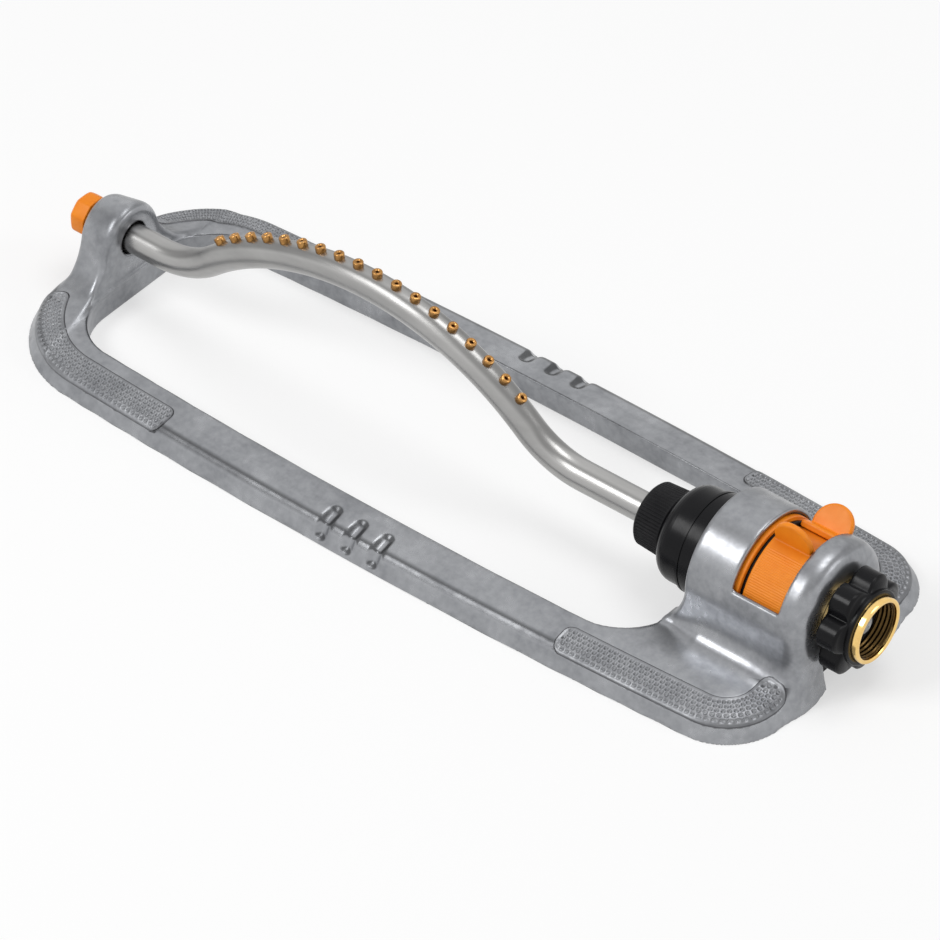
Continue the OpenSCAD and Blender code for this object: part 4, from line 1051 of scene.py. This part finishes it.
k = plug
face, back = k["face"], k["face"] + k["thick"]
profile = [(face, 0.0), (face, k["corner"] - k["chamfer"]), (face + k["chamfer"], k["corner"]),
           (back, k["corner"]), (back, k["stem"]), (k["tip"], k["stem"]), (k["tip"], 0.0)]
profile = roundOff(profile, (0, 0.7, 0.8, 0.6, 0.2, 0.4, 0), 4, closed=False)
points, faces = turned(profile, 96, plugShape, closed=False)
piece = addPiece("cleanOutPlug", points, faces, "orangePlastic", "plug", "end_plug")
shell = bmesh.new()
shell.from_mesh(piece.data)
bmesh.ops.remove_doubles(shell, verts=shell.verts, dist=1e-6)
shell.to_mesh(piece.data)
shell.free()
print("the plug")


# the hose swivel

nut = dict(start=221.5, length=14.7, radius=19.0, bore=16.55,
           lobes=7, lobe=25.5, lobeRadius=8.0, lobeLength=12.2, lobeBlend=2.4, lobeSteps=26,
           lobeFrom=17.6, lobeRun=1.2, startEdge=1.4, endEdge=1.6, rim=2.2)


def nutLobes(x, r, angle):
    part = 2 * math.pi / nut["lobes"]
    local = (math.pi - angle + part / 2) % part - part / 2
    centre = nut["lobe"] - nut["lobeRadius"]
    under = np.maximum(nut["lobeRadius"] ** 2 - (centre * np.sin(local)) ** 2, 0)
    lobe = centre * np.cos(local) + np.sqrt(under)
    lobe = smoothMax(np.full_like(lobe, nut["radius"]), lobe, nut["lobeBlend"]) - nut["radius"]
    along = np.clip((r - nut["lobeFrom"]) / nut["lobeRun"], 0, 1)
    edge = np.clip((x - nut["start"]) / nut["startEdge"], 0, 1)
    edge = edge * np.clip((nut["start"] + nut["lobeLength"] - x) / nut["endEdge"], 0, 1)
    return x, r + lobe * along * np.sqrt(np.clip(1 - (1 - edge) ** 2, 0, 1))


k = nut
end = k["start"] + k["length"]
lobed = np.linspace(k["start"] + 0.15, k["start"] + k["lobeLength"], k["lobeSteps"])
rim = [(end - k["rim"], k["radius"]), (end, k["radius"]), (end, k["bore"])]
profile = [np.array((k["start"], k["bore"])), np.array((k["start"], k["radius"]))]
profile += [np.array((x, k["radius"])) for x in lobed]
profile += roundOff(rim, (0, 0.9, 0.3), 4, closed=False)
addPiece("swivelNut", *turned(profile, k["lobes"] * 32, nutLobes), "glossBlack", "swivel", "swivel_nut")

insert = dict(start=221.6, collar=2.6, end=240.0, bore=11.56, radius=16.5, lip=14.25, lipDepth=2.4,
              pocket=14.0, pocketEnd=229.2, thread=13.5, threadPitch=2.2, threadDepth=0.7,
              threadSteepness=1.6, threadFlat=0.3, threadStart=2.0, threadRunIn=0.5, threadPoints=44)


def hoseThread(x, r, angle):
    k = insert
    phase = (x / k["threadPitch"] + angle / (2 * math.pi)) % 1
    tooth = np.clip(k["threadSteepness"] * (0.5 - np.abs(phase - 0.5)) * 2 - k["threadFlat"], 0, 1)
    inside = (np.abs(r - k["thread"]) < 0.05) & (x < k["end"] - k["threadStart"] - 0.2)
    runIn = np.clip((x - k["pocketEnd"]) / k["threadRunIn"], 0, 1)
    return x, r + np.where(inside, k["threadDepth"] * tooth * runIn, 0)


k = insert
collar = k["start"] + k["collar"]
profile = [(k["start"], k["bore"]), (k["start"], k["radius"]), (k["end"], k["radius"]), (k["end"], k["lip"]),
           (k["end"] - k["lipDepth"], k["lip"]), (k["pocketEnd"], k["lip"]), (k["pocketEnd"], k["pocket"]),
           (collar, k["pocket"]), (collar, k["bore"])]
profile = roundOff(profile, (0.2, 0.5, 1.15, 1.0, 0, 0, 0, 0, 0), 6)
addPiece("hoseInsert", *turned(profile, 128), "brightBrass", "swivel", "hose_insert")
threadEnd = k["pocketEnd"] + 0.1
ridges = np.linspace(k["end"] - k["threadStart"], threadEnd, k["threadPoints"])
profile = [(k["end"] - k["threadStart"] + 0.3, k["lip"])]
profile += [(x, k["thread"]) for x in ridges]
profile += [(threadEnd, k["lip"])]
# the threads take the darker brass copy, painted shade inside the fitting
addPiece("hoseThread", *turned(profile, 128, hoseThread, closed=False), "threadBrass", "swivel")

screen = dict(start=224.0, radius=7.85, rim=2.0, height=8.0, spokes=30, rings=10, top=4.0, wire=0.45)
k = screen
spokes, rings = k["spokes"], k["rings"]
points, faces = [], []
for n in range(rings + 1):
    a = math.radians(k["top"] + (90 - k["top"]) * (1 - n / rings))
    x, r = k["start"] + k["rim"] + k["height"] * math.sin(a), k["radius"] * math.cos(a)
    for j in range(spokes):
        b = 2 * math.pi * (j + 0.5 * (n % 2)) / spokes
        points.append((x, r * math.sin(b), axisHeight + r * math.cos(b)))
for n in range(rings):
    one, two = n * spokes, (n + 1) * spokes
    for j in range(spokes):
        i = (j + 1) % spokes
        faces.append((one + j, two + j, two + i, one + i))
lattice = addPiece("filterScreen", points, np.array(faces), "screenSteel", "base", "filter_screen")
wires = lattice.modifiers.new("wires", "WIREFRAME")
wires.thickness = k["wire"] * mm
wires.use_even_offset = False
print("the hose swivel")


# finishes of the nodes that stay as they are

kept = dict(
    glossBlack=["case_front", "case_rear", "tube_socket"],
    matteBlack=["bottom_cover", "inlet_stem"],
    softRubber=["case_seal", "stem_seal", "socket_seals", "plug_seal", "hose_washer", "tower_bush"],
    ivoryPlastic=["gear_plate", "jet_plate", "output_gear", "third_gear", "second_gear", "first_gear",
                  "turbine", "diverter", "trip_arm"],
    brightSteel=["cover_screws", "case_screws", "idler_pin", "trip_spring", "drive_rod", "cleaning_pin"],
    brightBrass=["stem_ring"],
    drawnTube=["end_sleeve"],
)
for finish, names in kept.items():
    for name in names:
        slotsOfNode = nodes[name].data.materials
        slotsOfNode.clear()
        slotsOfNode.append(finishes[finish])
print("finishes of the inner pieces")
